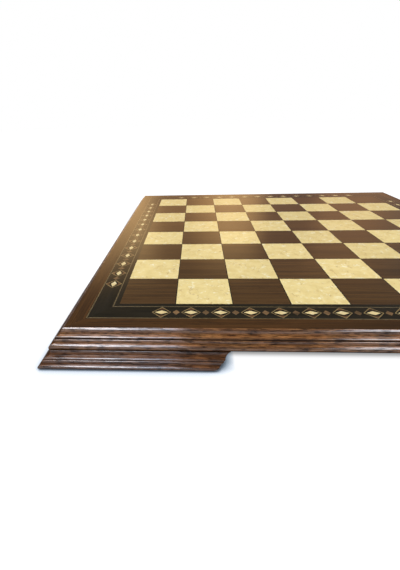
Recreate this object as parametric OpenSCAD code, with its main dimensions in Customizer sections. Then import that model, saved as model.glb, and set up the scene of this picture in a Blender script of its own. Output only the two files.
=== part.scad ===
// Inlaid chessboard on a moulded frame with bracket feet.
// Origin: middle of the board at the level that it stands on. +Z up, white's side of the board at -Y.
// Offsets called d are measured outwards from the edge of the playing surface.

/* [Playing surface] */
// Side of one square of the inlay
square_w = 44.2; // [30:0.2:60]
// Width of the black strings between the squares
string_w = 0.8; // [0.4:0.1:2]
// Thickness of all the inlaid sheet: squares, strings, band and rim
veneer_t = 1.2; // [0.8:0.1:2.4]

/* [Border] */
// Width of the black fillet round the squares
fillet_w = 3.8; // [2:0.2:8]
// Width of the two brass lines
line_w = 1.0; // [0.4:0.1:2]
// Width of the black band between the brass lines
band_w = 15.4; // [13:0.2:24]
// Width of the walnut rim outside the outer brass line
rim_w = 11.9; // [9:0.1:24]

/* [Motifs in the band] */
// How much less than half a square the motifs' pitch is
motif_ease = 0.2; // [0:0.05:0.6]
// Black left along the band between a lozenge's point and a small diamond's
motif_gap = 0.8; // [0.3:0.1:2]
// Black left between a lozenge's points and the edges of the band
lozenge_neck = 0.2; // [0.1:0.1:1]
// Width of the brass in a lozenge outline
outline_w = 0.7; // [0.3:0.1:1]
// Height of the brown triangles in the points of the outline
apex_h = 2.8; // [1:0.1:3]
// Black left along the band between the pearl's points and the outline
pearl_end_gap = 1.35; // [0.5:0.05:3]
// Black left across the band between the pearl's points and the brown triangles
pearl_side_gap = 1.1; // [0.2:0.1:1.5]
// Width of the small diamond between two motifs
diamond_w = 5.7; // [3:0.1:7]
// Height of the small diamond across the band
diamond_h = 6.8; // [4:0.1:10]

/* [Panel] */
// Thickness of the plywood core
core_t = 6.0; // [4:0.5:7]
// Thickness of the balancing veneer under the core
backing_t = 0.6; // [0.4:0.1:1.5]
// Clearance round the core in its rebate
panel_gap = 0.3; // [0.1:0.1:0.8]

/* [Frame rails] */
// Height of a rail from its underside to the underside of the rim
rail_h = 12.2; // [11.8:0.1:18]
// Wood left outside the rebate for the panel
tongue_w = 5.0; // [3:0.2:6]
// Width of the ledge that carries the panel
ledge_w = 7.0; // [5:0.2:12]
// Radius of the bead that rises flush with the rim
bead_r = 2.1; // [1.4:0.1:2.6]
// Upright under the bead
rail_neck_h = 0.45; // [0.2:0.05:1.2]
// Radius of the rail's upper cove
rail_cove_r = 1.85; // [1.2:0.05:2.4]
// Level part of the shelf under the rail's upper cove
rail_shelf_w = 0.75; // [0.3:0.05:1.5]
// Rounding of that shelf's edge
rail_torus_r = 1.1; // [0.6:0.1:1.4]
// Upright under the shelf
rail_drop_h = 0.75; // [0.3:0.05:1.4]
// Level part of the rail's step
rail_step_w = 0.4; // [0.2:0.1:1]
// Rounding of the step's edge
rail_step_r = 0.5; // [0.3:0.1:0.8]
// Radius of the rail's lower cove
rail_cove2_r = 1.1; // [0.6:0.1:1.5]
// Radius of the round nosing at the rail's foot
rail_nose_r = 2.25; // [1.6:0.05:2.6]

/* [Bracket feet] */
// Height of a foot
foot_h = 10.8; // [10.4:0.1:20]
// How far the foot's top edge is set back from the rail's nosing
foot_inset = 0.45; // [0.1:0.05:1]
// Rounding of that edge
foot_edge_r = 0.6; // [0.3:0.1:0.9]
// Upright under that edge
foot_neck_h = 0.7; // [0.3:0.1:1.2]
// Radius of the foot's upper cove
foot_cove_r = 2.4; // [1.6:0.1:2.8]
// Level part of the shelf under the foot's upper cove
foot_shelf_w = 0.5; // [0.3:0.1:1.2]
// Rounding of that shelf's edge
foot_torus_r = 1.0; // [0.6:0.1:1.3]
// Upright under the shelf
foot_drop_h = 0.4; // [0.2:0.1:1]
// Level part of the foot's step
foot_step_w = 0.45; // [0.2:0.05:1]
// Rounding of the step's edge
foot_step_r = 0.5; // [0.3:0.1:0.8]
// Radius of the foot's lower cove
foot_cove2_r = 1.45; // [0.8:0.05:1.8]
// Radius of the round nosing at the floor
foot_nose_r = 1.4; // [0.9:0.05:1.6]
// Length of a foot along its rail, where its sawn end meets the rail
foot_len = 134.5; // [90:0.1:150]
// Slope of the foot's sawn end
toe_angle = 50; // [30:1:60]
// Radius of the foot's toe
toe_r = 14; // [4:0.5:18]
// Radius of the throat between the toe's slope and the rail
throat_r = 1.5; // [1:0.5:8]

/* [Felt discs] */
// Diameter of a disc
felt_d = 16; // [10:0.5:20]
// Thickness of a disc
felt_t = 1.5; // [1:0.1:3]
// How far a disc stands out of the foot
felt_proud = 0.4; // [0.2:0.1:0.8]
// Distance of a disc from the outer corner of its foot
felt_at = 62; // [55:1:72]

/* [Fixings] */
// Diameter of every screw's shank
screw_d = 3.0; // [2:0.1:3.4]
// Diameter of every screw's head
head_d = 6.0; // [4.5:0.1:7]
// Height of the countersunk head
head_h = 2.4; // [1.5:0.1:3]
// Length of the screws that hold the feet
foot_screw_l = 16; // [14:0.5:18]
// Length of the screws that hold the corner blocks
block_screw_l = 10; // [9:0.5:11]
// Clearance of a screw in its hole and of a biscuit in its slot
fixing_fit = 0.1; // [0.05:0.05:0.2]
// Length of the right-angled sides of a corner block
block_leg = 36; // [32:1:60]
// Blunt end left on a corner block's points
block_blunt = 4; // [2:0.5:8]
// Distance of each screw in a corner block from the nearer rail
block_screw_in = 8.5; // [6:0.5:10]
// Distance of each screw in a corner block from the further rail
block_screw_out = 19; // [16:0.5:20]
// Length of a biscuit along the mitre
biscuit_l = 22; // [16:0.5:22]
// Width of a biscuit across the mitre
biscuit_w = 12; // [8:0.5:12]
// Thickness of a biscuit
biscuit_t = 3; // [2:0.1:3.2]
// Wood left under a biscuit
biscuit_under = 1.4; // [1:0.1:2]

/* [Hidden] */
$fn = 64;

// Sides of the board, as quarter turns from the front
sides = [0, 1, 2, 3];
front = sides[0];
right = sides[1];
back = sides[2];
left = sides[3];
files = 8;

// How far a cutting shape runs past what it cuts
over = 1;

// Playing surface
pitch = square_w + string_w;
play_w = files * square_w + (files - 1) * string_w;
half = play_w / 2;

// Offsets of the border, from the playing surface outwards
inner_line_d = fillet_w;
band_d = inner_line_d + line_w;
outer_line_d = band_d + band_w;
rim_d = outer_line_d + line_w;
edge_d = rim_d + rim_w;

// Offset of the outer edge of a step, from the offset where the moulding starts to fall
function step_reach(edge_r, cove_r, shelf_w, torus_r, step_w, step_r) =
    edge_r + cove_r + shelf_w + torus_r + step_w + step_r;

// Heights, from the floor upwards
foot_z = felt_proud;
rail_z = foot_z + foot_h;
veneer_z = rail_z + rail_h;
top_z = veneer_z + veneer_t;
core_z = veneer_z - core_t;
ledge_z = core_z - backing_t;
block_h = ledge_z - rail_z;

// Offsets of the frame
rebate_d = edge_d - tongue_w;
inner_d = rebate_d - ledge_w;
core_half = half + rebate_d - panel_gap;
rail_step_d = edge_d + step_reach(
    bead_r, rail_cove_r, rail_shelf_w, rail_torus_r, rail_step_w, rail_step_r
);
rail_out_d = rail_step_d + rail_cove2_r + rail_nose_r;
foot_edge_d = rail_out_d - foot_inset - foot_edge_r;
foot_step_d = foot_edge_d + step_reach(
    foot_edge_r, foot_cove_r, foot_shelf_w, foot_torus_r, foot_step_w, foot_step_r
);
foot_out_d = foot_step_d + foot_cove2_r + foot_nose_r;
outer_half = half + foot_out_d;

// What is left of each height for the upright above the lower cove
rail_upright_h = top_z - rail_z - bead_r - rail_neck_h - rail_cove_r - rail_torus_r
    - rail_drop_h - rail_step_r - rail_cove2_r - 2 * rail_nose_r;
foot_upright_h = foot_h - foot_edge_r - foot_neck_h - foot_cove_r - foot_torus_r
    - foot_drop_h - foot_step_r - foot_cove2_r - 2 * foot_nose_r;

// The motifs: the same number on each side of the middle
motif_pitch = pitch / 2 - motif_ease;
motifs_half = files - 1;
lozenge_w = motif_pitch - diamond_w - 2 * motif_gap;
lozenge_h = band_w - 2 * lozenge_neck;
band_mid_d = band_d + band_w / 2;

// Scale from the outline's outer rhombus to its inner one, and what fits in it
lozenge_inradius = lozenge_w * lozenge_h / 2 / sqrt(pow(lozenge_w, 2) + pow(lozenge_h, 2));
outline_scale = 1 - outline_w / lozenge_inradius;
field_w = lozenge_w * outline_scale;
field_h = lozenge_h * outline_scale;
pearl_w = field_w - 2 * pearl_end_gap;
pearl_h = field_h - 2 * (apex_h + pearl_side_gap);

// A brown triangle's base: how far it lies from the motif's middle, and half its width
apex_y = field_h / 2 - apex_h;
apex_half = field_w * apex_h / field_h;

// Fixings: the foot screws go up beside the rebate, the biscuits lie in the middle of the rail
felt_d_mid = (rebate_d + rail_step_d) / 2;
felt_seat_z = felt_t;
biscuit_mid_d = (inner_d + rail_step_d) / 2;
biscuit_z = rail_z + biscuit_under;

// Shared shapes

// Turns what is drawn for the front to one side of the board
module on_side(side) {
    rotate([0, 0, 90 * side]) children();
}

// Everything that lies in front of the two mitres
module mitre_wedge() {
    reach = outer_half + over;
    translate([0, 0, -over])
        linear_extrude(top_z + 2 * over)
            polygon([[0, 0], [-reach, -reach], [reach, -reach]]);
}

// Runs a profile of offset and height along the front, mitred at both ends
module mitred_run() {
    intersection() {
        translate([outer_half + over, -half, 0])
            rotate([90, 0, -90])
                linear_extrude(2 * (outer_half + over)) children();
        mitre_wedge();
    }
}

// Mitred flat strip of the inlay along the front, from offset d0 to d1
module strip_outline(d0, d1) {
    polygon([
        [-half - d0, -half - d0], [half + d0, -half - d0],
        [half + d1, -half - d1], [-half - d1, -half - d1]
    ]);
}

module inlay_sheet() {
    translate([0, 0, veneer_z]) linear_extrude(veneer_t) children();
}

module rhombus(w, h) {
    polygon([[-w / 2, 0], [0, -h / 2], [w / 2, 0], [0, h / 2]]);
}

// Centres of the lozenges and of the small diamonds along one side
lozenge_x = [for (i = [-motifs_half : motifs_half - 1]) (i + 0.5) * motif_pitch];
diamond_x = [for (i = [1 - motifs_half : motifs_half - 1]) i * motif_pitch];

module along_band(places) {
    for (x = places) translate([x, -half - band_mid_d]) children();
}

// Playing surface

// The squares of one colour: parity 0 holds the near left corner
module squares(parity) {
    for (file = [0 : files - 1], rank = [0 : files - 1])
        if ((file + rank) % 2 == parity)
            translate([file * pitch - half, rank * pitch - half, veneer_z])
                cube([square_w, square_w, veneer_t]);
}

module walnut_squares() {
    color([0.27, 0.19, 0.12]) squares(0);
}

module pearl_squares() {
    color([0.91, 0.82, 0.60]) squares(1);
}

// Strings that run the whole width of the board, between the ranks
module long_strings() {
    color([0.10, 0.08, 0.06])
        for (rank = [1 : files - 1])
            translate([-half, rank * pitch - string_w - half, veneer_z])
                cube([play_w, string_w, veneer_t]);
}

// Strings between two squares of one rank
module short_strings() {
    color([0.10, 0.08, 0.06])
        for (file = [1 : files - 1], rank = [0 : files - 1])
            translate([file * pitch - string_w - half, rank * pitch - half, veneer_z])
                cube([string_w, square_w, veneer_t]);
}

// Border

module fillet_strip(side) {
    color([0.12, 0.10, 0.08]) on_side(side) inlay_sheet() strip_outline(0, inner_line_d);
}

module brass_line(side, d) {
    color([0.62, 0.50, 0.28]) on_side(side) inlay_sheet() strip_outline(d, d + line_w);
}

// Black band with a window for each lozenge and each small diamond
module band_strip(side) {
    color([0.12, 0.10, 0.08])
        on_side(side)
            inlay_sheet()
                difference() {
                    strip_outline(band_d, outer_line_d);
                    along_band(lozenge_x) rhombus(lozenge_w, lozenge_h);
                    along_band(diamond_x) rhombus(diamond_w, diamond_h);
                }
}

module outline_ring() {
    difference() {
        rhombus(lozenge_w, lozenge_h);
        rhombus(field_w, field_h);
    }
}

// The two brown triangles in the points of one outline
module apex_pair() {
    for (turn = [0, 180])
        rotate(turn) polygon([[0, field_h / 2], [-apex_half, apex_y], [apex_half, apex_y]]);
}

// The black between those triangles, with a window for the pearl
module field_plate() {
    difference() {
        polygon([
            [-field_w / 2, 0], [-apex_half, -apex_y], [apex_half, -apex_y],
            [field_w / 2, 0], [apex_half, apex_y], [-apex_half, apex_y]
        ]);
        rhombus(pearl_w, pearl_h);
    }
}

// Puts one flat shape at every motif of the border
module at_motifs(places) {
    for (side = sides) on_side(side) inlay_sheet() along_band(places) children();
}

module lozenge_outlines() {
    color([0.62, 0.50, 0.28]) at_motifs(lozenge_x) outline_ring();
}

module lozenge_fields() {
    color([0.12, 0.10, 0.08]) at_motifs(lozenge_x) field_plate();
}

module apex_triangles() {
    color([0.50, 0.35, 0.24]) at_motifs(lozenge_x) apex_pair();
}

module pearl_lozenges() {
    color([0.91, 0.82, 0.60]) at_motifs(lozenge_x) rhombus(pearl_w, pearl_h);
}

module small_diamonds() {
    color([0.50, 0.37, 0.26]) at_motifs(diamond_x) rhombus(diamond_w, diamond_h);
}

module rim_strip(side) {
    color([0.29, 0.20, 0.12]) on_side(side) inlay_sheet() strip_outline(rim_d, edge_d);
}

// Panel

module panel_sheet(z, t) {
    translate([-core_half, -core_half, z]) cube([2 * core_half, 2 * core_half, t]);
}

module core_panel() {
    color([0.76, 0.64, 0.46])
        difference() {
            panel_sheet(core_z, core_t);
            block_screw_set(fixing_fit);
        }
}

module backing_veneer() {
    color([0.62, 0.47, 0.33])
        difference() {
            panel_sheet(ledge_z, backing_t);
            block_screw_set(fixing_fit);
        }
}

// Mouldings in section: x is the offset d and y is the height

// Wood from the frame's inner face out to d, between two heights
module course(d, z0, z1) {
    translate([inner_d, z0]) square([d - inner_d, z1 - z0]);
}

// Hollow quarter that rises from the flat at (d, z) to an upright at the left
module cove(d, z, r) {
    difference() {
        translate([d, z]) square(r);
        translate([d + r, z + r]) circle(r);
    }
}

// Wood out to d with its top edge rounded
module rounded_course(d, z0, z1, r) {
    course(d - r, z0, z1);
    course(d, z0, z1 - r);
    translate([d - r, z1 - r]) circle(r);
}

// Moulding that falls from (d, z): round edge, neck, cove, round shelf, drop, round step, upright,
// small cove and nosing
module moulded(
    d, z, edge_r, neck_h, cove_r, shelf_w, torus_r, drop_h, step_w, step_r, upright_h, cove2_r, nose_r
) {
    neck_d = d + edge_r;
    shelf_z = z - edge_r - neck_h - cove_r;
    shelf_d = neck_d + cove_r + shelf_w + torus_r;
    step_z = shelf_z - torus_r - drop_h;
    step_d = shelf_d + step_w + step_r;
    nose_z = step_z - step_r - upright_h - cove2_r;
    nose_d = step_d + cove2_r;
    base_z = nose_z - 2 * nose_r;
    rounded_course(neck_d, base_z, z, edge_r);
    cove(neck_d, shelf_z, cove_r);
    rounded_course(shelf_d, base_z, shelf_z, torus_r);
    rounded_course(step_d, base_z, step_z, step_r);
    cove(step_d, nose_z, cove2_r);
    course(nose_d, base_z, nose_z);
    translate([nose_d, base_z + nose_r]) circle(nose_r);
}

// The rail's lip rises beside the rim, and its rebate takes the panel
module rail_section() {
    difference() {
        moulded(
            edge_d, top_z, bead_r, rail_neck_h, rail_cove_r, rail_shelf_w, rail_torus_r,
            rail_drop_h, rail_step_w, rail_step_r, rail_upright_h, rail_cove2_r, rail_nose_r
        );
        translate([inner_d - over, veneer_z])
            square([edge_d - inner_d + over, veneer_t + over]);
        translate([inner_d - over, ledge_z])
            square([ledge_w + over, veneer_z - ledge_z + over]);
    }
}

module foot_section() {
    moulded(
        foot_edge_d, rail_z, foot_edge_r, foot_neck_h, foot_cove_r, foot_shelf_w, foot_torus_r,
        foot_drop_h, foot_step_w, foot_step_r, foot_upright_h, foot_cove2_r, foot_nose_r
    );
}

// Rails

module rail(side) {
    color([0.50, 0.33, 0.22])
        difference() {
            on_side(side) mitred_run() rail_section();
            biscuit_set(fixing_fit);
            foot_screw_set(fixing_fit);
        }
}

// Flat lens, as long as the biscuit along Y and as wide across X
module biscuit_outline(fit) {
    l = biscuit_l / 2 + fit;
    w = biscuit_w / 2 + fit;
    r = (l * l + w * w) / (2 * w);
    intersection() {
        translate([r - w, 0]) circle(r);
        translate([w - r, 0]) circle(r);
    }
}

module biscuit_set(fit) {
    for (side = sides)
        on_side(side)
            translate([half + biscuit_mid_d, -half - biscuit_mid_d, biscuit_z - fit])
                rotate([0, 0, 45])
                    linear_extrude(biscuit_t + 2 * fit) biscuit_outline(fit);
}

module biscuits() {
    color([0.82, 0.70, 0.52]) biscuit_set(0);
}

// Feet

// Sawn outline of a left-hand foot seen from outside: x from its outer corner, y from the floor
module foot_outline() {
    slope = tan(toe_angle);
    top = [foot_len, rail_z];
    toe = [foot_len - foot_h / slope, foot_z];
    toe_cut = toe_r * tan(toe_angle / 2);
    throat_cut = throat_r * tan(toe_angle / 2);
    along = [cos(toe_angle), sin(toe_angle)];
    toe_flat = toe - [toe_cut, 0];
    toe_slope = toe + toe_cut * along;
    throat_flat = top + [throat_cut, 0];
    throat_slope = top - throat_cut * along;
    polygon([[0, foot_z], toe_flat, toe_slope, top, [0, rail_z]]);
    intersection() {
        polygon([toe_flat, toe, toe_slope]);
        translate(toe_flat + [0, toe_r]) circle(toe_r);
    }
    difference() {
        polygon([throat_slope, throat_flat, top]);
        translate(throat_flat - [0, throat_r]) circle(throat_r);
    }
}

// Left-hand wing of the front, moulded, mitred and sawn to its outline
module foot_wing_blank() {
    difference() {
        intersection() {
            mitred_run() foot_section();
            translate([-outer_half, -half - inner_d + over, 0])
                rotate([90, 0, 0])
                    linear_extrude(foot_out_d - inner_d + 2 * over) foot_outline();
        }
        felt_place() cylinder(h = 2 * felt_seat_z, d = felt_d + 2 * fixing_fit, center = true);
    }
}

// Places of the left-hand discs and screws, on the floor
module felt_place() {
    translate([felt_at - outer_half, -half - felt_d_mid, 0]) children();
}

// One wing of a corner foot; mirrored for the right-hand end of a side
module foot_wing(side, hand) {
    color([0.42, 0.28, 0.19])
        difference() {
            on_side(side)
                if (hand == left) foot_wing_blank();
                else mirror([1, 0, 0]) foot_wing_blank();
            foot_screw_set(fixing_fit);
        }
}

// Both discs' or screws' places on every side
module at_wings() {
    for (side = sides)
        on_side(side) {
            felt_place() children();
            mirror([1, 0, 0]) felt_place() children();
        }
}

module felt_discs() {
    color([0.10, 0.16, 0.12]) at_wings() cylinder(h = felt_t, d = felt_d);
}

// Fixings

// Countersunk screw with its head down on z = 0, in one turned outline
module screw(l, fit) {
    r = screw_d / 2 + fit;
    head_r = head_d / 2 + fit;
    point_h = screw_d / 2;
    rotate_extrude()
        polygon([
            [0, 0], [head_r, 0], [r, head_h], [r, l + fit - point_h], [0, l + fit]
        ]);
}

module foot_screw_set(fit) {
    at_wings() translate([0, 0, felt_seat_z]) screw(foot_screw_l, fit);
}

module foot_screws() {
    color([0.60, 0.60, 0.62]) foot_screw_set(0);
}

// Puts what is drawn in the front left inner corner of the frame into all four
module at_corners() {
    for (side = sides)
        on_side(side) translate([-half - inner_d, -half - inner_d, rail_z]) children();
}

module block_screw_set(fit) {
    at_corners()
        for (place = [[block_screw_in, block_screw_out], [block_screw_out, block_screw_in]])
            translate(place) screw(block_screw_l, fit);
}

module block_screws() {
    color([0.60, 0.60, 0.62]) block_screw_set(0);
}

module corner_blocks() {
    color([0.80, 0.68, 0.48])
        difference() {
            at_corners()
                linear_extrude(block_h)
                    polygon([
                        [0, 0], [block_leg, 0], [block_leg, block_blunt],
                        [block_blunt, block_leg], [0, block_leg]
                    ]);
            block_screw_set(fixing_fit);
        }
}

walnut_squares();
pearl_squares();
long_strings();
short_strings();
fillet_strip(front);  // fillet_front
fillet_strip(right);  // fillet_right
fillet_strip(back);  // fillet_back
fillet_strip(left);  // fillet_left
brass_line(front, inner_line_d);  // inner_line_front
brass_line(right, inner_line_d);  // inner_line_right
brass_line(back, inner_line_d);  // inner_line_back
brass_line(left, inner_line_d);  // inner_line_left
band_strip(front);  // band_front
band_strip(right);  // band_right
band_strip(back);  // band_back
band_strip(left);  // band_left
lozenge_outlines();
lozenge_fields();
apex_triangles();
pearl_lozenges();
small_diamonds();
brass_line(front, outer_line_d);  // outer_line_front
brass_line(right, outer_line_d);  // outer_line_right
brass_line(back, outer_line_d);  // outer_line_back
brass_line(left, outer_line_d);  // outer_line_left
rim_strip(front);  // rim_front
rim_strip(right);  // rim_right
rim_strip(back);  // rim_back
rim_strip(left);  // rim_left
core_panel();
backing_veneer();
rail(front);  // rail_front
rail(right);  // rail_right
rail(back);  // rail_back
rail(left);  // rail_left
biscuits();
corner_blocks();
block_screws();
foot_wing(front, left);  // foot_front_left
foot_wing(front, right);  // foot_front_right
foot_wing(right, left);  // foot_right_front
foot_wing(right, right);  // foot_right_back
foot_wing(back, left);  // foot_back_right
foot_wing(back, right);  // foot_back_left
foot_wing(left, left);  // foot_left_back
foot_wing(left, right);  // foot_left_front
foot_screws();
felt_discs();
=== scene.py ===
"""Looks of an inlaid chessboard in a moulded frame on bracket feet.

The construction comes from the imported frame. This script finishes every piece, rebuilds the moulded
rails, the feet and the screws with the softened edges that they have at the bench, and sets up the
studio and the camera. Lengths are in metres and angles in degrees unless a name says otherwise.
"""
import logging
import math
from dataclasses import dataclass, field, replace
from enum import Enum
from typing import Any, Callable, NamedTuple, Optional, Sequence, Union

import bmesh
import bpy
from mathutils import Euler, Matrix, Vector, noise


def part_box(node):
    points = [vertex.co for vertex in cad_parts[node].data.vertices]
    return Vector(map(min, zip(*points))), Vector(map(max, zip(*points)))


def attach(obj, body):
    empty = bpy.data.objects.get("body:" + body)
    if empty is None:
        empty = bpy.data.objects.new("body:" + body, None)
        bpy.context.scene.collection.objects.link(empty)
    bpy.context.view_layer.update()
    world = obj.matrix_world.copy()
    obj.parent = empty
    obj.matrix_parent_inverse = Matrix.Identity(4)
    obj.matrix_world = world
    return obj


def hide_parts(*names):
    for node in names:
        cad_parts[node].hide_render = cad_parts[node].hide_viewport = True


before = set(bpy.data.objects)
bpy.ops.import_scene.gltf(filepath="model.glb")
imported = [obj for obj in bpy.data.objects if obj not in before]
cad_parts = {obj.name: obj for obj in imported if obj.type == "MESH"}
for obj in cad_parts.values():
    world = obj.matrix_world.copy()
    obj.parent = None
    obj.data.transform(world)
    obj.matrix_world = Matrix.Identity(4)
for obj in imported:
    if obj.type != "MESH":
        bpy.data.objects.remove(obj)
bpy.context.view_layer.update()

BODY = "root"
MM = 0.001
SAME_POINT = 0.001 * MM
SAME_LEVEL = 0.01 * MM
SHARP = 35

logging.basicConfig(level=logging.INFO, format="%(name)s: %(message)s")
log = logging.getLogger("chessboard")

Colour = tuple[float, float, float, float]
Point = tuple[float, float]
Span = tuple[float, float]
Place = tuple[float, float, float]
Tint = tuple[float, float, float]
Socket = bpy.types.NodeSocket
Sockets = dict[str, Socket]
Input = Union[Socket, float, tuple]
Ring = list[bmesh.types.BMVert]

WHITE: Colour = (1.0, 1.0, 1.0, 1.0)
VECTOR = "NodeSocketVector"
FLOAT = "NodeSocketFloat"


def display(red: float, green: float, blue: float) -> Colour:
    """Turns a colour as it looks on a display into the linear one that sockets take.

    Args:
        red: Level from 0 to 255.
        green: Level from 0 to 255.
        blue: Level from 0 to 255.

    Returns:
        The linear colour, opaque.
    """
    def linear(level: float) -> float:
        """Linear value of one display level, by the usual curve of displays."""
        part = level / 255
        return part / 12.92 if part <= 0.04045 else ((part + 0.055) / 1.055) ** 2.4

    return (linear(red), linear(green), linear(blue), 1.0)


class Side(Enum):
    """Sides of the board, as quarter turns from the front."""

    FRONT = 0
    RIGHT = 1
    BACK = 2
    LEFT = 3

    @property
    def word(self) -> str:
        """Name of the side in the names of its pieces."""
        return self.name.lower()

    @property
    def turn(self) -> Matrix:
        """Matrix that turns what is drawn for the front to this side."""
        return Matrix.Rotation(math.radians(90 * self.value), 4, "Z")

    @property
    def grain(self) -> "Grain":
        """Direction of the grain in wood that runs along this side."""
        return Grain.ALONG_X if self.value % 2 == 0 else Grain.ALONG_Y

    def neighbour(self, hand: "Hand") -> "Side":
        """Side that lies beyond one end of this one."""
        return Side((self.value + hand.value) % len(Side))


class Hand(Enum):
    """Ends of a side, seen from outside, as the step to the side that lies beyond that end."""

    LEFT = -1
    RIGHT = 1


class Grain(Enum):
    """Directions of the grain, as the turn about Z that lays it along X."""

    ALONG_X = 0
    ALONG_Y = 90


# Node tools


class NodeBench:
    """Places the nodes of one tree and joins them."""

    # Numbers of a colour Mix node's sockets
    FACTOR, FIRST, SECOND, MIXED = 0, 6, 7, 2

    def __init__(self, tree: bpy.types.NodeTree) -> None:
        """Takes the tree that is worked on."""
        self.tree = tree

    @classmethod
    def cleared(cls, owner: Union[bpy.types.Material, bpy.types.World]) -> "NodeBench":
        """Empties the nodes of a material or world.

        Args:
            owner: The material or world.

        Returns:
            A bench on its tree.
        """
        owner.use_nodes = True
        owner.node_tree.nodes.clear()
        return cls(owner.node_tree)

    def feed(self, socket: Socket, value: Input) -> None:
        """Joins an input to another node, or sets its value.

        Args:
            socket: The input.
            value: The other node's output, or the value.
        """
        if isinstance(value, Socket):
            self.tree.links.new(value, socket)
        else:
            socket.default_value = value

    def place(self, kind: str, inputs: Optional[dict] = None, **settings: Any) -> bpy.types.Node:
        """Adds one node.

        Args:
            kind: Blender's name for the node's type.
            inputs: Outputs or values for its inputs, by name or number.
            **settings: The node's own settings.

        Returns:
            The node.
        """
        node = self.tree.nodes.new(kind)
        for name, value in settings.items():
            setattr(node, name, value)
        for key, value in (inputs or {}).items():
            self.feed(node.inputs[key], value)
        return node

    def calc(self, operation: str, *values: Input) -> Socket:
        """Adds a Math node and returns its result."""
        return self.place("ShaderNodeMath", dict(enumerate(values)), operation=operation).outputs[0]

    def vector(self, operation: str, *values: Input) -> Socket:
        """Adds a Vector Math node and returns its vector."""
        return self.place("ShaderNodeVectorMath", dict(enumerate(values)), operation=operation).outputs[0]

    def times(self, first: Input, second: Input) -> Socket:
        """Multiplies two numbers."""
        return self.calc("MULTIPLY", first, second)

    def squeezed(self, vector: Input, factors: Input) -> Socket:
        """Multiplies the parts of a vector by factors."""
        return self.vector("MULTIPLY", vector, factors)

    def rise(self, value: Input, low: float, high: float, kind: str = "LINEAR") -> Socket:
        """Returns how far a value is on its way from low to high, from 0 to 1."""
        inputs = {"Value": value, "From Min": low, "From Max": high}
        return self.place("ShaderNodeMapRange", inputs, interpolation_type=kind).outputs[0]

    def step(self, value: Input, low: float, high: float) -> Socket:
        """Returns a smooth step of a value, from 0 at low to 1 at high."""
        return self.rise(value, low, high, "SMOOTHSTEP")

    def spread(self, value: Input, at_zero: float, at_one: float) -> Socket:
        """Returns a mask from 0 to 1 as a value between the two given ones."""
        inputs = {"Value": value, "To Min": at_zero, "To Max": at_one}
        return self.place("ShaderNodeMapRange", inputs).outputs[0]

    def mix(self, factor: Input, first: Input, second: Input, mode: str = "MIX") -> Socket:
        """Adds a colour Mix node and returns its colour."""
        inputs = {self.FACTOR: factor, self.FIRST: first, self.SECOND: second}
        return self.place("ShaderNodeMix", inputs, data_type="RGBA", blend_type=mode).outputs[self.MIXED]

    def dimmed(self, colour: Input, level: Input) -> Socket:
        """Multiplies a colour by a number."""
        grey = self.place("ShaderNodeCombineColor", {0: level, 1: level, 2: level}).outputs[0]
        return self.mix(1.0, colour, grey, "MULTIPLY")

    def cloud(self, vector: Input, scale: float = 1.0, detail: float = 2.0) -> Socket:
        """Adds a Noise Texture node and returns its value."""
        inputs = {"Vector": vector, "Scale": scale, "Detail": detail}
        return self.place("ShaderNodeTexNoise", inputs).outputs[0]

    def cells(self, vector: Input, scale: float = 1.0) -> tuple[Socket, bpy.types.NodeOutputs]:
        """Adds a Voronoi Texture node.

        Args:
            vector: Place in the pattern of cells.
            scale: Number of cells in a unit of length.

        Returns:
            The distance from the cell's middle, and three numbers drawn for the cell.
        """
        outputs = self.place("ShaderNodeTexVoronoi", {"Vector": vector, "Scale": scale}).outputs
        drawn = self.place("ShaderNodeSeparateColor", {"Color": outputs["Color"]})
        return outputs["Distance"], drawn.outputs

    def rays(self) -> tuple[Socket, Socket]:
        """Adds a Light Path node.

        Returns:
            What is 1 for the camera's rays, and what is 1 for mirrored and transmitted ones.
        """
        path = self.place("ShaderNodeLightPath").outputs
        return path["Is Camera Ray"], self.calc("MAXIMUM", path["Is Glossy Ray"], path["Is Transmission Ray"])


class Effect:
    """A surface effect kept as a node group, which is built once and placed where it is wanted.

    Attributes:
        name: Name of the group.
        takes: Kind and first value of each input.
        gives: Names of the outputs.
    """

    name = "effect"
    takes: dict[str, tuple[str, Any]] = {}
    gives: tuple[str, ...] = ()

    def build(self, bench: NodeBench, given: Sockets) -> Sockets:
        """Places the group's nodes.

        Args:
            bench: Bench on the group's own tree.
            given: The group's inputs by name.

        Returns:
            What each output gets, by name.
        """
        raise NotImplementedError

    def group(self) -> bpy.types.NodeTree:
        """Finds the effect's node group, or builds it on first use.

        Returns:
            The node group.
        """
        tree = bpy.data.node_groups.get(self.name)
        if tree:
            return tree
        tree = bpy.data.node_groups.new(self.name, "ShaderNodeTree")
        for name, (kind, value) in self.takes.items():
            socket = tree.interface.new_socket(name, in_out="INPUT", socket_type=kind)
            if value is not None:
                socket.default_value = value
        for name in self.gives:
            tree.interface.new_socket(name, in_out="OUTPUT", socket_type=FLOAT)
        bench = NodeBench(tree)
        entry = bench.place("NodeGroupInput")
        ending = bench.place("NodeGroupOutput")
        for name, value in self.build(bench, {name: entry.outputs[name] for name in self.takes}).items():
            bench.feed(ending.inputs[name], value)
        return tree

    def placed(self, bench: NodeBench, **inputs: Input) -> bpy.types.NodeOutputs:
        """Places the group in a material that the bench works on, and returns its outputs."""
        return bench.place("ShaderNodeGroup", inputs, node_tree=self.group()).outputs


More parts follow.
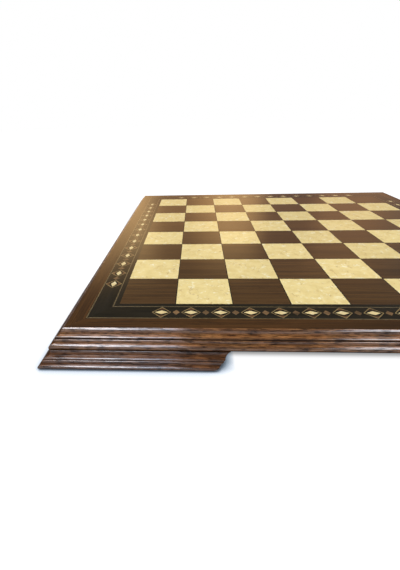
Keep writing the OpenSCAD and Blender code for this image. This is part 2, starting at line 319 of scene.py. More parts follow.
class PieceTone(Effect):
    """Gives every piece of a regular pattern its own tone, from the cell of a grid that it lies in."""

    name = "piece_tone"
    takes = {"Place": (VECTOR, None), "Cell": (FLOAT, 0.045), "Offset": (FLOAT, 0.0), "Seed": (FLOAT, 0.0)}
    gives = ("Tone", "Second", "Shift")

    def build(self, bench: NodeBench, given: Sockets) -> Sockets:
        """Rounds the place down to its cell and draws that cell's own numbers.

        Args:
            bench: Bench on the group's own tree.
            given: The group's inputs by name.

        Returns:
            Three numbers from 0 to 1.
        """
        flat = bench.squeezed(given["Place"], (1.0, 1.0, 0.0))
        moved = bench.vector("ADD", flat, given["Offset"])
        cell = bench.vector("FLOOR", bench.vector("DIVIDE", moved, given["Cell"]))
        seeded = bench.vector("ADD", cell, given["Seed"])
        drawn = bench.place("ShaderNodeTexWhiteNoise", {"Vector": seeded}, noise_dimensions="3D")
        parts = bench.place("ShaderNodeSeparateColor", {"Color": drawn.outputs["Color"]})
        return dict(zip(self.gives, parts.outputs))


class Layer(NamedTuple):
    """One layer of noise in the figure of wood.

    Attributes:
        along: How many times finer than a band it is along the grain.
        across: The same across the grain.
        detail: How many finer scales it holds.
        low: Level of noise at which it starts to show.
        high: Level at which it shows in full.
    """

    along: float
    across: float
    detail: float
    low: float
    high: float


class WoodFigure(Effect):
    """Solid figure of wood with its grain along X: bands, dark streaks, fibres, pores and patches."""

    name = "wood_figure"
    takes = {
        "Place": (VECTOR, None), "Shift": (FLOAT, 0.0), "Band": (FLOAT, 0.003),
        "Stretch": (FLOAT, 18.0), "Waviness": (FLOAT, 0.8),
    }
    gives = ("Figure", "Streak", "Fibre", "Pores", "Patch", "Height")

    SWAY = (14.0, 40.0, 40.0)
    FIBRES = (2.5, 6.0, 6.0)
    LAYERS = {
        "Figure": Layer(0.45, 0.45, 2.0, 0.28, 0.72),
        "Streak": Layer(1.0, 1.9, 3.0, 0.50, 0.62),
        "Pores": Layer(5.0, 9.0, 1.0, 0.62, 0.74),
        "Patch": Layer(0.5, 0.2, 2.0, 0.46, 0.66),
    }
    PORE_DEPTH = 0.6
    STREAK_DEPTH = 0.3
    FIBRE_HEIGHT = 0.25

    def build(self, bench: NodeBench, given: Sockets) -> Sockets:
        """Stretches noise along the grain at five scales and bends the grain a little.

        Args:
            bench: Bench on the group's own tree.
            given: The group's inputs by name.

        Returns:
            The masks of the layers, and the height of the surface.
        """
        moved = bench.vector("ADD", given["Place"], given["Shift"])
        sway = bench.calc("SUBTRACT", bench.cloud(bench.squeezed(moved, self.SWAY), 1.0, 1.0), 0.5)
        sway = bench.times(sway, given["Waviness"])
        bend = bench.place("ShaderNodeCombineXYZ", {"X": 0.0, "Y": sway, "Z": sway}).outputs[0]
        along = bench.calc("DIVIDE", 1.0, given["Stretch"])
        slender = bench.place("ShaderNodeCombineXYZ", {"X": along, "Y": 1.0, "Z": 1.0}).outputs[0]
        bands = bench.squeezed(bench.vector("DIVIDE", moved, given["Band"]), slender)
        lie = bench.vector("ADD", bands, bend)

        found = {"Fibre": bench.cloud(bench.squeezed(lie, self.FIBRES), 1.0, 2.0)}
        for name, layer in self.LAYERS.items():
            fine = bench.squeezed(lie, (layer.along, layer.across, layer.across))
            found[name] = bench.step(bench.cloud(fine, 1.0, layer.detail), layer.low, layer.high)
        pores = bench.times(found["Pores"], self.PORE_DEPTH)
        sunk = bench.calc("ADD", pores, bench.times(found["Streak"], self.STREAK_DEPTH))
        found["Height"] = bench.calc("SUBTRACT", bench.times(found["Fibre"], self.FIBRE_HEIGHT), sunk)
        return found


class PearlFlakes(Effect):
    """Bright flakes, soft clouds and a few darker flecks of pearl sheet."""

    name = "pearl_flakes"
    takes = {"Place": (VECTOR, None), "Flake": (FLOAT, 0.003), "Shift": (FLOAT, 0.0)}
    gives = ("Shimmer", "Cloud", "Fleck", "Height")

    # Squeeze of each cell pattern, and the draws from which a cell is lit a little and in full
    PATTERNS = (((0.55, 1.5, 1.0), 0.66, 0.98), ((2.3, 1.0, 1.0), 0.62, 0.96))
    BEND_SCALE = 0.8
    BEND = (3.2, 3.2, 0.0)
    RIM_AND_MIDDLE = (0.70, 0.25)
    SECOND_SHARE = 0.75
    GATHERING = (0.46, 0.64)
    LEAST = 0.14
    FLECKS = (0.94, 0.985)
    FLAKE_TILT = 0.5
    GATHER_SCALE, CLOUD_SCALE = 0.4, 0.34

    def build(self, bench: NodeBench, given: Sockets) -> Sockets:
        """Lights slivers of two bent cell patterns that lie across each other, and darkens a few.

        Args:
            bench: Bench on the group's own tree.
            given: The group's inputs by name.

        Returns:
            The masks of flakes, clouds and flecks, and the height of the surface.
        """
        moved = bench.vector("ADD", given["Place"], given["Shift"])
        place = bench.vector("DIVIDE", moved, given["Flake"])
        inputs = {"Vector": place, "Scale": self.BEND_SCALE, "Detail": 3.0}
        bend = bench.place("ShaderNodeTexNoise", inputs).outputs[1]
        bent = bench.vector("ADD", place, bench.squeezed(bend, self.BEND))

        lit, drawn = [], []
        for squeeze, low, high in self.PATTERNS:
            distance, numbers = bench.cells(bench.squeezed(bent, squeeze))
            inside = bench.step(distance, *self.RIM_AND_MIDDLE)
            lit.append(bench.times(bench.step(numbers[0], low, high), inside))
            drawn.append(numbers)
        shimmer = bench.calc("MAXIMUM", lit[0], bench.times(lit[1], self.SECOND_SHARE))
        gathered = bench.step(bench.cloud(place, self.GATHER_SCALE), *self.GATHERING)
        shimmer = bench.times(shimmer, bench.spread(gathered, self.LEAST, 1.0))
        height = bench.calc("ADD", bench.times(drawn[0][2], self.FLAKE_TILT), shimmer)
        return {
            "Shimmer": shimmer, "Cloud": bench.cloud(place, self.CLOUD_SCALE, 3.0),
            "Fleck": bench.step(drawn[1][1], *self.FLECKS), "Height": height,
        }


class LacquerSkin(Effect):
    """Haze that handling leaves on a sprayed lacquer."""

    name = "lacquer_skin"
    takes = {"Place": (VECTOR, None), "Flow": (FLOAT, 0.012)}
    gives = ("Haze",)

    PATCHES = 0.35
    HAZY = (0.3, 0.7)

    def build(self, bench: NodeBench, given: Sockets) -> Sockets:
        """Uses slow noise.

        Args:
            bench: Bench on the group's own tree.
            given: The group's inputs by name.

        Returns:
            The mask of the haze.
        """
        place = bench.vector("DIVIDE", given["Place"], given["Flow"])
        return {"Haze": bench.step(bench.cloud(place, self.PATCHES, 3.0), *self.HAZY)}


class EdgeAndHollowMasks(Effect):
    """Where a moulding's rounded edges are darker, where painted shade, partly stain, darkens its hollows,
    and where it is matt.
    """

    name = "worn_edges"
    takes = {"Place": (VECTOR, None), "Wear": (FLOAT, 0.0)}
    gives = ("Handled", "Gathered", "Matt")

    PATCHES = (90.0, 90.0, 300.0)
    # Levels of the mesh's mask from which each shows a little and in full
    RUBBED, SUNK, DULL = (0.15, 0.8), (0.2, 0.6), (0.04, 0.24)
    HANDLED_PATCHES = (0.20, 0.55)
    HOLLOW_SHADE_AND_STAIN_LEVELS = (0.70, 1.1)

    def build(self, bench: NodeBench, given: Sockets) -> Sockets:
        """Breaks the mesh's own mask up with noise.

        Args:
            bench: Bench on the group's own tree.
            given: The group's inputs by name.

        Returns:
            The masks of the darker edges, of the painted shade and stain in hollows, and of what is matt.
        """
        patchy = bench.cloud(bench.squeezed(given["Place"], self.PATCHES), 1.0, 3.0)
        hollow = bench.times(given["Wear"], -1.0)
        darker_edge = bench.step(given["Wear"], *self.RUBBED)
        sunk = bench.step(hollow, *self.SUNK)
        return {
            "Handled": bench.times(darker_edge, bench.step(patchy, *self.HANDLED_PATCHES)),
            "Gathered": bench.times(sunk, bench.spread(patchy, *self.HOLLOW_SHADE_AND_STAIN_LEVELS)),
            "Matt": bench.step(hollow, *self.DULL),
        }


# Finishes


@dataclass(frozen=True)
class Finish:
    """A named finish, made as one material.

    Attributes:
        name: Name of the material.
        slot: The record's material slot that it stands for; not used by this script.
    """

    name: str
    slot: str

    def dress(self, bench: NodeBench, place: Socket) -> None:
        """Adds the finish's nodes up to the material's output.

        Args:
            bench: Bench on the material's tree.
            place: Place on the board.
        """
        raise NotImplementedError

    def material(self) -> bpy.types.Material:
        """Finds the finish's material, or makes it on first use.

        Returns:
            The material.
        """
        made = bpy.data.materials.get(self.name)
        if made:
            return made
        made = bpy.data.materials.new(self.name)
        bench = NodeBench.cleared(made)
        self.dress(bench, bench.place("ShaderNodeTexCoord").outputs["Object"])
        return made

    @staticmethod
    def surface(bench: NodeBench, height: Input, relief: float, **inputs: Input) -> None:
        """Ends a material with a Principled shader over a bump.

        Args:
            bench: Bench on the material's tree.
            height: Relative height of the surface.
            relief: Depth in metres that a height of 1 stands for.
            **inputs: The shader's inputs, with underscores for spaces.
        """
        bump = bench.place("ShaderNodeBump", {"Height": height, "Distance": relief, "Strength": 1.0})
        values = {name.replace("_", " "): value for name, value in inputs.items()}
        shader = bench.place("ShaderNodeBsdfPrincipled", {**values, "Normal": bump.outputs[0]})
        bench.place("ShaderNodeOutputMaterial", {"Surface": shader.outputs[0]})


@dataclass(frozen=True)
class Wood(Finish):
    """Wood, bare or lacquered.

    Attributes:
        ground: Colour of most of the wood.
        light: Colour of its light bands.
        dark: Colour of its streaks and pores.
        grain: Direction of the grain.
        band: Width of one band of the figure.
        stretch: How many times longer than wide the figure is.
        streaks: How strongly the dark streaks show, up to 1.
        patches: How strongly broad dark patches show, up to 1.
        cell: Size of the pattern's cell where each piece has its own tone, or 0.
        offset: Shift of that pattern's cells.
        second: Ground colour of the pieces of the other tone.
        tone: How far the pieces differ in lightness.
        roughness: Roughness of the wood under its lacquer.
        coat: Weight of the lacquer.
        coat_roughness: Roughness of the lacquer.
        coat_ior: Index of the lacquer.
        relief: Depth of the pores.
        worn: Whether the mesh has a mask of edges and hollows, which darkens its edges and paints shade,
            partly stain, into its hollows.
    """

    ground: Colour
    light: Colour
    dark: Colour
    grain: Grain = Grain.ALONG_X
    band: float = 3 * MM
    stretch: float = 18.0
    streaks: float = 0.6
    patches: float = 0.0
    cell: float = 0.0
    offset: float = 0.0
    second: Optional[Colour] = None
    tone: float = 0.0
    roughness: float = 0.42
    coat: float = 1.0
    coat_roughness: float = 0.12
    coat_ior: float = 1.5
    relief: float = 0.02 * MM
    worn: bool = False

    # How far each layer covers the colour below it
    LIGHT_COVER, PORE_COVER, HANDLED_COVER, GATHERED_COVER = 0.85, 0.75, 0.55, 0.95
    FIBRE_LEVELS = (0.78, 1.22)
    OTHER_TONE = (0.3, 0.9)
    HAZE = (-0.06, 0.08)
    WAX_ROUGHNESS = 0.15
    # How much of the lacquer stays on pores, on open grain and in matt hollows
    PORE_COAT, OPEN_COAT, MATT_COAT = 0.8, 0.45, 0.12

    def dress(self, bench: NodeBench, place: Socket) -> None:
        """Lays the figure over the ground, then tone, the mask's darker edges and painted shade, and lacquer.

        Args:
            bench: Bench on the material's tree.
            place: Place on the board.
        """
        turn = (0.0, 0.0, math.radians(self.grain.value))
        turned = bench.place("ShaderNodeMapping", {"Vector": place, "Rotation": turn}).outputs[0]
        colour: Input = self.ground
        shift: Input = 0.0
        if self.cell:
            tone = PieceTone().placed(bench, Place=place, Cell=self.cell, Offset=self.offset)
            shift = tone["Shift"]
            colour = bench.mix(bench.step(tone["Second"], *self.OTHER_TONE), colour, self.second)
        figure = WoodFigure().placed(bench, Place=turned, Shift=shift, Band=self.band, Stretch=self.stretch)
        colour = bench.mix(bench.spread(figure["Figure"], 0.0, self.LIGHT_COVER), colour, self.light)
        colour = bench.dimmed(colour, bench.spread(figure["Fibre"], *self.FIBRE_LEVELS))
        layers = (("Patch", self.patches), ("Streak", self.streaks), ("Pores", self.PORE_COVER))
        for name, cover in layers:
            if cover:
                colour = bench.mix(bench.times(figure[name], cover), colour, self.dark)
        if self.cell:
            colour = bench.dimmed(colour, bench.spread(tone["Tone"], 1.0 - self.tone, 1.0 + self.tone))
        haze = LacquerSkin().placed(bench, Place=place)["Haze"]
        roughness = bench.spread(haze, *(self.roughness + change for change in self.HAZE))
        coat: Input = 0.0
        if self.coat:
            coat = bench.times(bench.spread(figure["Pores"], 1.0, self.PORE_COAT), self.coat)
        if self.worn:
            # Darker rounded edges, and painted shade, partly stain, in the hollows, in the corner over the
            # step and under the rail's nosing
            mask = bench.place("ShaderNodeAttribute", attribute_name=Moulding.MASK).outputs["Fac"]
            wear = EdgeAndHollowMasks().placed(bench, Place=place, Wear=mask)
            colour = bench.mix(bench.times(wear["Handled"], self.HANDLED_COVER), colour, self.dark)
            colour = bench.mix(bench.times(wear["Gathered"], self.GATHERED_COVER), colour, self.dark)
            roughness = bench.calc("ADD", roughness, bench.times(wear["Gathered"], self.WAX_ROUGHNESS))
            open_grain = bench.calc("MAXIMUM", figure["Pores"], figure["Streak"])
            coat = bench.times(coat, bench.spread(wear["Matt"], 1.0, self.MATT_COAT))
            coat = bench.times(coat, bench.spread(open_grain, 1.0, self.OPEN_COAT))
        self.surface(
            bench, figure["Height"], self.relief, Base_Color=colour, Roughness=roughness,
            Specular_IOR_Level=0.0 if self.coat else 0.4, Coat_Weight=coat,
            Coat_Roughness=self.coat_roughness, Coat_IOR=self.coat_ior,
        )

    def both_ways(self, **at_the_sides: Any) -> dict[Grain, "Wood"]:
        """Makes the wood for both directions of the grain.

        Args:
            **at_the_sides: What differs where the grain runs along Y.

        Returns:
            The two woods, named for their directions.
        """
        changes = {Grain.ALONG_X: {}, Grain.ALONG_Y: at_the_sides}
        return {
            grain: replace(self, name=f"{self.name}_{grain.name.lower()}", grain=grain, **changes[grain])
            for grain in Grain
        }


@dataclass(frozen=True)
class PearlSheet(Finish):
    """Cream pearl sheet under lacquer.

    Attributes:
        ground: Colour of the sheet.
        shimmer: Colour of its bright flakes.
        fleck: Colour of its darker flecks.
        flake: Size of one flake.
        cell: Size of the pattern's cell, as each piece is cut from another place of the sheet.
        offset: Shift of that pattern's cells.
        deep: What the ground is multiplied by in its deeper clouds.
        tones: Least and greatest lightness of a piece.
        relief: How far the flakes tilt the surface.
    """

    ground: Colour
    shimmer: Colour
    fleck: Colour
    flake: float = 3 * MM
    cell: float = 45 * MM
    offset: float = 0.0
    deep: Colour = (0.91, 0.88, 0.81, 1.0)
    tones: Span = (0.94, 1.04)
    relief: float = 0.02 * MM

    SEED = 5.0
    CLOUDS = (0.30, 0.66)
    FLECK_COVER = 0.5
    ROUGHNESS = (0.42, 0.28)

    def dress(self, bench: NodeBench, place: Socket) -> None:
        """Lays flakes over the sheet and tilts them a little.

        Args:
            bench: Bench on the material's tree.
            place: Place on the board.
        """
        tone = PieceTone().placed(bench, Place=place, Cell=self.cell, Offset=self.offset, Seed=self.SEED)
        flakes = PearlFlakes().placed(bench, Place=place, Flake=self.flake, Shift=tone["Shift"])
        deep = bench.mix(1.0, self.ground, self.deep, "MULTIPLY")
        colour = bench.mix(bench.step(flakes["Cloud"], *self.CLOUDS), deep, self.ground)
        colour = bench.mix(flakes["Shimmer"], colour, self.shimmer)
        colour = bench.mix(bench.times(flakes["Fleck"], self.FLECK_COVER), colour, self.fleck)
        self.surface(
            bench, flakes["Height"], self.relief,
            Base_Color=bench.dimmed(colour, bench.spread(tone["Tone"], *self.tones)),
            Roughness=bench.spread(flakes["Shimmer"], *self.ROUGHNESS),
            Specular_IOR_Level=0.0, Coat_Weight=0.7, Coat_Roughness=0.10,
        )


@dataclass(frozen=True)
class Metal(Finish):
    """Metal with drawn or turned marks.

    Attributes:
        colour: Colour of the clean metal.
        tarnish: Colour of the dull patches.
        roughness: Roughness of the clean metal.
        mark: Size of the marks.
        relief: Depth of the marks.
        coat: Weight of a lacquer over it.
        bright: How far it still shines as metal, from 0 to 1.
    """

    colour: Colour
    tarnish: Colour
    roughness: float = 0.35
    mark: float = 0.4 * MM
    relief: float = 0.006 * MM
    coat: float = 0.0
    bright: float = 1.0

    PATCHES = 0.12
    TARNISHED = (0.42, 0.70)
    TARNISH_COVER = 0.8
    UNEVEN = (-0.08, 0.14)

    def dress(self, bench: NodeBench, place: Socket) -> None:
        """Dulls the metal in patches.

        Args:
            bench: Bench on the material's tree.
            place: Place on the board.
        """
        small = bench.vector("DIVIDE", place, (self.mark,) * 3)
        dull = bench.step(bench.cloud(small, self.PATCHES, 3.0), *self.TARNISHED)
        marks = bench.cloud(small)
        self.surface(
            bench, marks, self.relief,
            Base_Color=bench.mix(bench.times(dull, self.TARNISH_COVER), self.colour, self.tarnish),
            Roughness=bench.spread(marks, *(self.roughness + change for change in self.UNEVEN)),
            Metallic=self.bright, Specular_IOR_Level=0.1 if self.coat else 0.5,
            Coat_Weight=self.coat, Coat_Roughness=0.12,
        )


@dataclass(frozen=True)
class Baize(Finish):
    """Pressed felt.

    Attributes:
        colour: Colour of the felt.
        fluff: Colour of the fibres that stand up.
        relief: Height of the fibres.
    """

    colour: Colour
    fluff: Colour
    relief: float = 0.12 * MM

    FIBRES = (900.0,) * 3
    TUFTS = (260.0,) * 3
    RAISED = (0.40, 0.72)

    def dress(self, bench: NodeBench, place: Socket) -> None:
        """Tangles two scales of noise.

        Args:
            bench: Bench on the material's tree.
            place: Place on the board.
        """
        tangle = bench.cloud(bench.squeezed(place, self.FIBRES), 1.0, 4.0)
        tufts = bench.cloud(bench.squeezed(place, self.TUFTS), 1.0, 3.0)
        self.surface(
            bench, bench.calc("ADD", tangle, tufts), self.relief,
            Base_Color=bench.mix(bench.step(tangle, *self.RAISED), self.colour, self.fluff),
            Roughness=0.95, Sheen_Weight=0.5, Sheen_Roughness=0.5,
        )


# Geometry tools


@dataclass(frozen=True)
class Mark:
    """One point of a moulding's face.

    Attributes:
        d: Offset from the playing surface.
        z: Height above the floor.
        wear: 1 on a rounded edge that is darkened, -1 in a hollow that is darkened as painted shade, partly
            stain, and left matt, 0 elsewhere.
    """

    d: float
    z: float
    wear: float = 0.0


def arc(
    centre: Point, radius: float, start: float, end: float, steps: int, wear: float, even: bool = False,
) -> list[Mark]:
    """Marks along an arc of a moulding's face.

    Args:
        centre: Offset and height of the arc's centre.
        radius: Its radius.
        start: Angle of its first point from the outward direction.
        end: Angle of its last point.
        steps: Number of stretches between its points.
        wear: Value of the edge and hollow mask at its middle, which fades to nothing at its ends.
        even: Whether that value stays the same up to the ends instead.

    Returns:
        The marks, both ends among them.
    """
    marks = []
    for step in range(steps + 1):
        part = step / steps
        angle = math.radians(start + (end - start) * part)
        fade = 1.0 if even else math.sin(math.pi * part)
        d, z = centre[0] + radius * math.cos(angle), centre[1] + radius * math.sin(angle)
        marks.append(Mark(d, z, wear * fade))
    return marks


@dataclass(frozen=True)
class Moulding:
    """Round edge, neck, cove, round shelf, drop, round step, upright, small cove and nosing.

    Attributes:
        edge_r: Radius of the round edge at the top.
        neck_h: Upright between that edge and the upper cove.
        cove_r: Radius of the upper cove.
        shelf_w: Width of the level part of the shelf under it.
        torus_r: Radius of the shelf's edge.
        drop_h: Upright under the shelf.
        step_w: Width of the level part of the step.
        step_r: Radius of the step's edge.
        cove2_r: Radius of the lower cove.
        nose_r: Radius of the nosing.
        soft_r: Radius of the rounding in the corner over the step, which the mask darkens as painted shade,
            partly stain.
        under: Value of the mask on the lower half of the nosing, which darkens it: as painted shade, partly
            stain, where it is negative, and like the rounded edges where it is positive.
        groove: Value of the mask over and under that corner; a negative one paints a line of shade there.
    """

    edge_r: float
    neck_h: float
    cove_r: float
    shelf_w: float
    torus_r: float
    drop_h: float
    step_w: float
    step_r: float
    cove2_r: float
    nose_r: float
    soft_r: float = 0.2 * MM
    under: float = 0.5
    groove: float = 0.0

    MASK = "wear"
    SHELF_TURN = 25
    GROOVE_SHARE = 0.2

    def face(self, d: float, z: float, base_z: float) -> list[Mark]:
        """Follows the moulded face downwards.

        Args:
            d: Offset where the round edge starts.
            z: Height of the top.
            base_z: Height of the underside.

        Returns:
            The face's marks from the top to the underside.
        """
        cove_d = d + self.edge_r + self.cove_r
        shelf_z = z - self.edge_r - self.neck_h - self.cove_r
        torus = (cove_d + self.shelf_w, shelf_z - self.torus_r)
        step_z = torus[1] - self.drop_h
        drop_d = torus[0] + self.torus_r
        step_d = drop_d + self.step_w
        nose = (step_d + self.step_r + self.cove2_r, base_z + self.nose_r)
        upright_z = nose[1] + self.nose_r + self.cove2_r
        turn = self.SHELF_TURN
        # Mask values: positive ones darken the rounded edges, negative ones paint shade, partly stain, into
        # the coves and the corner over the step; under and groove set it under the nosing and along that
        # corner
        return [
            *arc((d, z - self.edge_r), self.edge_r, 90, 0, steps=10, wear=0.9),
            *arc((cove_d, shelf_z + self.cove_r), self.cove_r, 180, 270, steps=10, wear=-0.35),
            *arc(torus, self.torus_r, 90, turn, steps=6, wear=0.9),
            *arc(torus, self.torus_r, turn, 0, steps=3, wear=self.groove, even=True)[1:],
            *arc(
                (drop_d + self.soft_r, step_z + self.soft_r), self.soft_r, 180, 270,
                steps=3, wear=-1.0, even=True,
            ),
            Mark(step_d - self.GROOVE_SHARE * self.step_w, step_z, self.groove),
            *arc((step_d, step_z - self.step_r), self.step_r, 90, 0, steps=6, wear=0.5),
            *arc((nose[0], upright_z), self.cove2_r, 180, 270, steps=8, wear=-0.4),
            *arc(nose, self.nose_r, 90, 0, steps=9, wear=0.7)[1:],
            *arc(nose, self.nose_r, 0, -90, steps=9, wear=self.under)[1:],
        ]

    def reach(self) -> float:
        """How far the nosing stands out from where the round edge starts."""
        upper = self.edge_r + self.cove_r + self.shelf_w + self.torus_r
        return upper + self.step_w + self.step_r + self.cove2_r + self.nose_r


def join_rings(shape: bmesh.types.BMesh, rings: Sequence[Ring]) -> None:
    """Joins closed rings of vertices with quads.

    Args:
        shape: The mesh that they belong to.
        rings: The rings in order, each with as many vertices.
    """
    for one, two in zip(rings, rings[1:]):
        for number in range(len(one)):
            after = (number + 1) % len(one)
            shape.faces.new((one[number], one[after], two[after], two[number]))


def cap(shape: bmesh.types.BMesh, *rings: Ring) -> None:
    """Closes rings of vertices with triangles."""
    bmesh.ops.triangulate(shape, faces=[shape.faces.new(ring) for ring in rings])


def new_piece(name: str, shape: bmesh.types.BMesh, finishes: Sequence[Finish] = ()) -> bpy.types.Object:
    """Turns a mesh in the making into a piece of the scene.

    Args:
        name: Name of the piece.
        shape: The mesh, which is used up.
        finishes: Finishes in the order of the faces' material numbers.

    Returns:
        The piece.
    """
    mesh = bpy.data.meshes.new(name)
    shape.to_mesh(mesh)
    shape.free()
    for finish in finishes:
        mesh.materials.append(finish.material())
    piece = bpy.data.objects.new(name, mesh)
    bpy.context.scene.collection.objects.link(piece)
    return piece


def modify(piece: bpy.types.Object, kind: str, **settings: Any) -> None:
    """Adds a modifier to a piece.

    Args:
        piece: The piece.
        kind: Blender's name for the modifier's type.
        **settings: Its settings.
    """
    made = piece.modifiers.new(kind.lower(), kind)
    for name, value in settings.items():
        setattr(made, name, value)


def carve(piece: bpy.types.Object, cutters: Sequence[bpy.types.Object]) -> None:
    """Cuts other pieces out of a piece, and removes them.

    Args:
        piece: The piece that is cut.
        cutters: What is cut out of it.
    """
    for cutter in cutters:
        modify(piece, "BOOLEAN", operation="DIFFERENCE", solver="EXACT", object=cutter)
    graph = bpy.context.evaluated_depsgraph_get()
    mesh = bpy.data.meshes.new_from_object(piece.evaluated_get(graph), depsgraph=graph)
    piece.modifiers.clear()
    piece.data = mesh
    for cutter in cutters:
        bpy.data.objects.remove(cutter)


def seat_cutter(node: str) -> bpy.types.Object:
    """Copies one of the frame's pieces as a cutter for its seat.

    Args:
        node: Name of the piece's node.

    Returns:
        The cutter.
    """
    shape = bmesh.new()
    shape.from_mesh(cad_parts[node].data)
    bmesh.ops.remove_doubles(shape, verts=shape.verts, dist=SAME_POINT)
    return new_piece(f"cutter_{node}", shape)


def shade_by_angle(piece: bpy.types.Object, angle: float = 32.0) -> None:
    """Shades a piece smooth except at sharp edges.

    Args:
        piece: The piece.
        angle: Turn between two faces from which their edge is sharp.
    """
    shape = bmesh.new()
    shape.from_mesh(piece.data)
    for face in shape.faces:
        face.smooth = True
    for edge in shape.edges:
        edge.smooth = edge.is_manifold and edge.calc_face_angle(0.0) < math.radians(angle)
    shape.to_mesh(piece.data)
    shape.free()


def enter(piece: bpy.types.Object, finish: Finish, *nodes: str) -> None:
    """Puts a new piece on the board's body in place of its nodes, and reports it.

    Args:
        piece: The piece.
        finish: Its finish.
        *nodes: Names of the nodes that it replaces.
    """
    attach(piece, BODY)
    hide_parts(*nodes)
    log.info("%s: %d faces, finish %s", piece.name, len(piece.data.polygons), finish.name)


def dress_node(name: str, finish: Finish, edge_r: float) -> None:
    """Finishes one of the frame's own pieces.

    Args:
        name: Name of the node.
        finish: Its finish.
        edge_r: Radius that sanding leaves on its edges.
    """
    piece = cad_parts[name]
    for slot in piece.material_slots:
        slot.material = finish.material()
    modify(piece, "WELD", merge_threshold=SAME_POINT)
    modify(
        piece, "BEVEL", width=edge_r, segments=2, limit_method="ANGLE",
        angle_limit=math.radians(SHARP), use_clamp_overlap=True,
    )
    modify(piece, "WEIGHTED_NORMAL")
    log.info("%s: carried over, finish %s", name, finish.name)


def dress_nodes(finishes: dict[str, Finish], edge_r: float) -> None:
    """Finishes several of the frame's own pieces alike.

    Args:
        finishes: Finish of each node, by its name.
        edge_r: Radius that sanding leaves on their edges.
    """
    for name, finish in finishes.items():
        dress_node(name, finish, edge_r)


# Finishes of this board

PITCH = 45 * MM
MOTIF_PITCH = PITCH / 2

SQUARE_WALNUT = Wood(
    "square_walnut_veneer", "square_walnut", ground=display(75, 51, 26), light=display(92, 65, 34),
    dark=display(48, 33, 18), second=display(68, 48, 26), band=2.2 * MM, stretch=26, streaks=0.3,
    cell=PITCH, offset=4 * PITCH, tone=0.16,
)
PEARL = PearlSheet(
    "pearl_sheet", "pearl", ground=display(236, 212, 143), shimmer=display(252, 244, 204),
    fleck=display(186, 150, 92), cell=PITCH, offset=4 * PITCH,
)
PEARL_SMALL = PearlSheet(
    "pearl_lozenge_sheet", "pearl", ground=display(224, 200, 142), shimmer=display(240, 226, 180),
    fleck=display(206, 170, 112), flake=2 * MM, cell=MOTIF_PITCH,
)
EBONISED = Wood(
    "ebonised_veneer", "ebonised", ground=display(31, 26, 12), light=display(42, 36, 25),
    dark=display(21, 18, 13), band=1.6 * MM, stretch=22, streaks=0.5,
)
EBONISED_CROSS = replace(EBONISED, name="ebonised_veneer_cross", grain=Grain.ALONG_Y)
BRASS = Metal(
    "dulled_brass", "brass_line", colour=display(100, 85, 54), tarnish=display(74, 62, 40),
    roughness=0.42, coat=1.0, bright=0.2,
)
BRASS_OUTLINE = Metal(
    "brass_outline", "brass_line", colour=display(146, 122, 76), tarnish=display(104, 86, 54),
    roughness=0.40, coat=1.0, bright=0.25,
)
MOTIF = Wood(
    "motif_veneer", "motif_wood", ground=display(104, 79, 51), light=display(130, 99, 64),
    dark=display(60, 44, 28), second=display(82, 64, 42), band=1.0 * MM, stretch=10, streaks=0.4,
    cell=MOTIF_PITCH, offset=MOTIF_PITCH / 2, tone=0.28,
)
APEX = Wood(
    "apex_veneer", "motif_wood", ground=display(88, 58, 36), light=display(110, 76, 47),
    dark=display(54, 35, 21), second=display(70, 49, 31), band=1.0 * MM, stretch=10, streaks=0.4,
    cell=MOTIF_PITCH, tone=0.24,
)
RIM = Wood(
    "rim_walnut", "rim_walnut", ground=display(63, 40, 17), light=display(82, 53, 24),
    dark=display(38, 25, 12), band=2.6 * MM, stretch=20, streaks=0.4,
).both_ways()
# The left and right rails, with the grain along Y, get a darker ground and light colour as painted shade on
# those sides
RAIL = Wood(
    "moulding_wood", "moulding", ground=display(136, 87, 48), light=display(166, 114, 66),
    dark=display(32, 19, 11), band=1.4 * MM, stretch=5, streaks=0.75, patches=0.45, roughness=0.40,
    coat_roughness=0.13, coat_ior=2.1, relief=0.015 * MM, worn=True,
).both_ways(ground=display(92, 60, 36), light=display(112, 74, 44))
# The left and right feet, with the grain along Y, get a darker ground and light colour as painted shade on
# those sides
FOOT = Wood(
    "foot_wood", "foot_moulding", ground=display(108, 69, 41), light=display(134, 87, 51),
    dark=display(28, 17, 11), band=1.4 * MM, stretch=5, streaks=0.7, patches=0.45, roughness=0.42,
    coat_roughness=0.14, coat_ior=2.1, relief=0.015 * MM, worn=True,
).both_ways(ground=display(80, 52, 32), light=display(98, 64, 39))
SAWN_END = Wood(
    "sawn_end", "foot_moulding", ground=display(62, 42, 30), light=display(80, 54, 38),
    dark=display(32, 22, 16), band=0.9 * MM, stretch=4, streaks=0.5, roughness=0.6, coat=0.5,
    coat_roughness=0.3, relief=0.06 * MM,
).both_ways()
PLYWOOD = Wood(
    "birch_plywood", "plywood", ground=display(206, 178, 138), light=display(222, 198, 160),
    dark=display(170, 134, 92), band=4 * MM, stretch=14, streaks=0.3, roughness=0.6, coat=0.0,
)
BACKING = Wood(
    "backing_veneer", "backing", ground=display(170, 134, 98), light=display(190, 154, 116),
    dark=display(126, 92, 62), band=5 * MM, stretch=22, streaks=0.4, roughness=0.55, coat=0.25,
    coat_roughness=0.3,
)
BEECH = Wood(
    "beech_biscuit", "beech", ground=display(214, 182, 140), light=display(226, 198, 158),
    dark=display(178, 140, 100), band=1.2 * MM, stretch=5, streaks=0.35, roughness=0.65, coat=0.0,
)
BLOCK = Wood(
    "corner_block_wood", "block_wood", ground=display(204, 172, 124), light=display(218, 190, 146),
    dark=display(164, 126, 84), band=2.5 * MM, stretch=12, streaks=0.4, roughness=0.6, coat=0.0,
)
STEEL = Metal("zinc_steel", "screw_steel", colour=display(196, 196, 200), tarnish=display(150, 150, 152))
FELT = Baize("green_felt", "felt", colour=display(30, 48, 38), fluff=display(62, 84, 70))


# Sub-assemblies


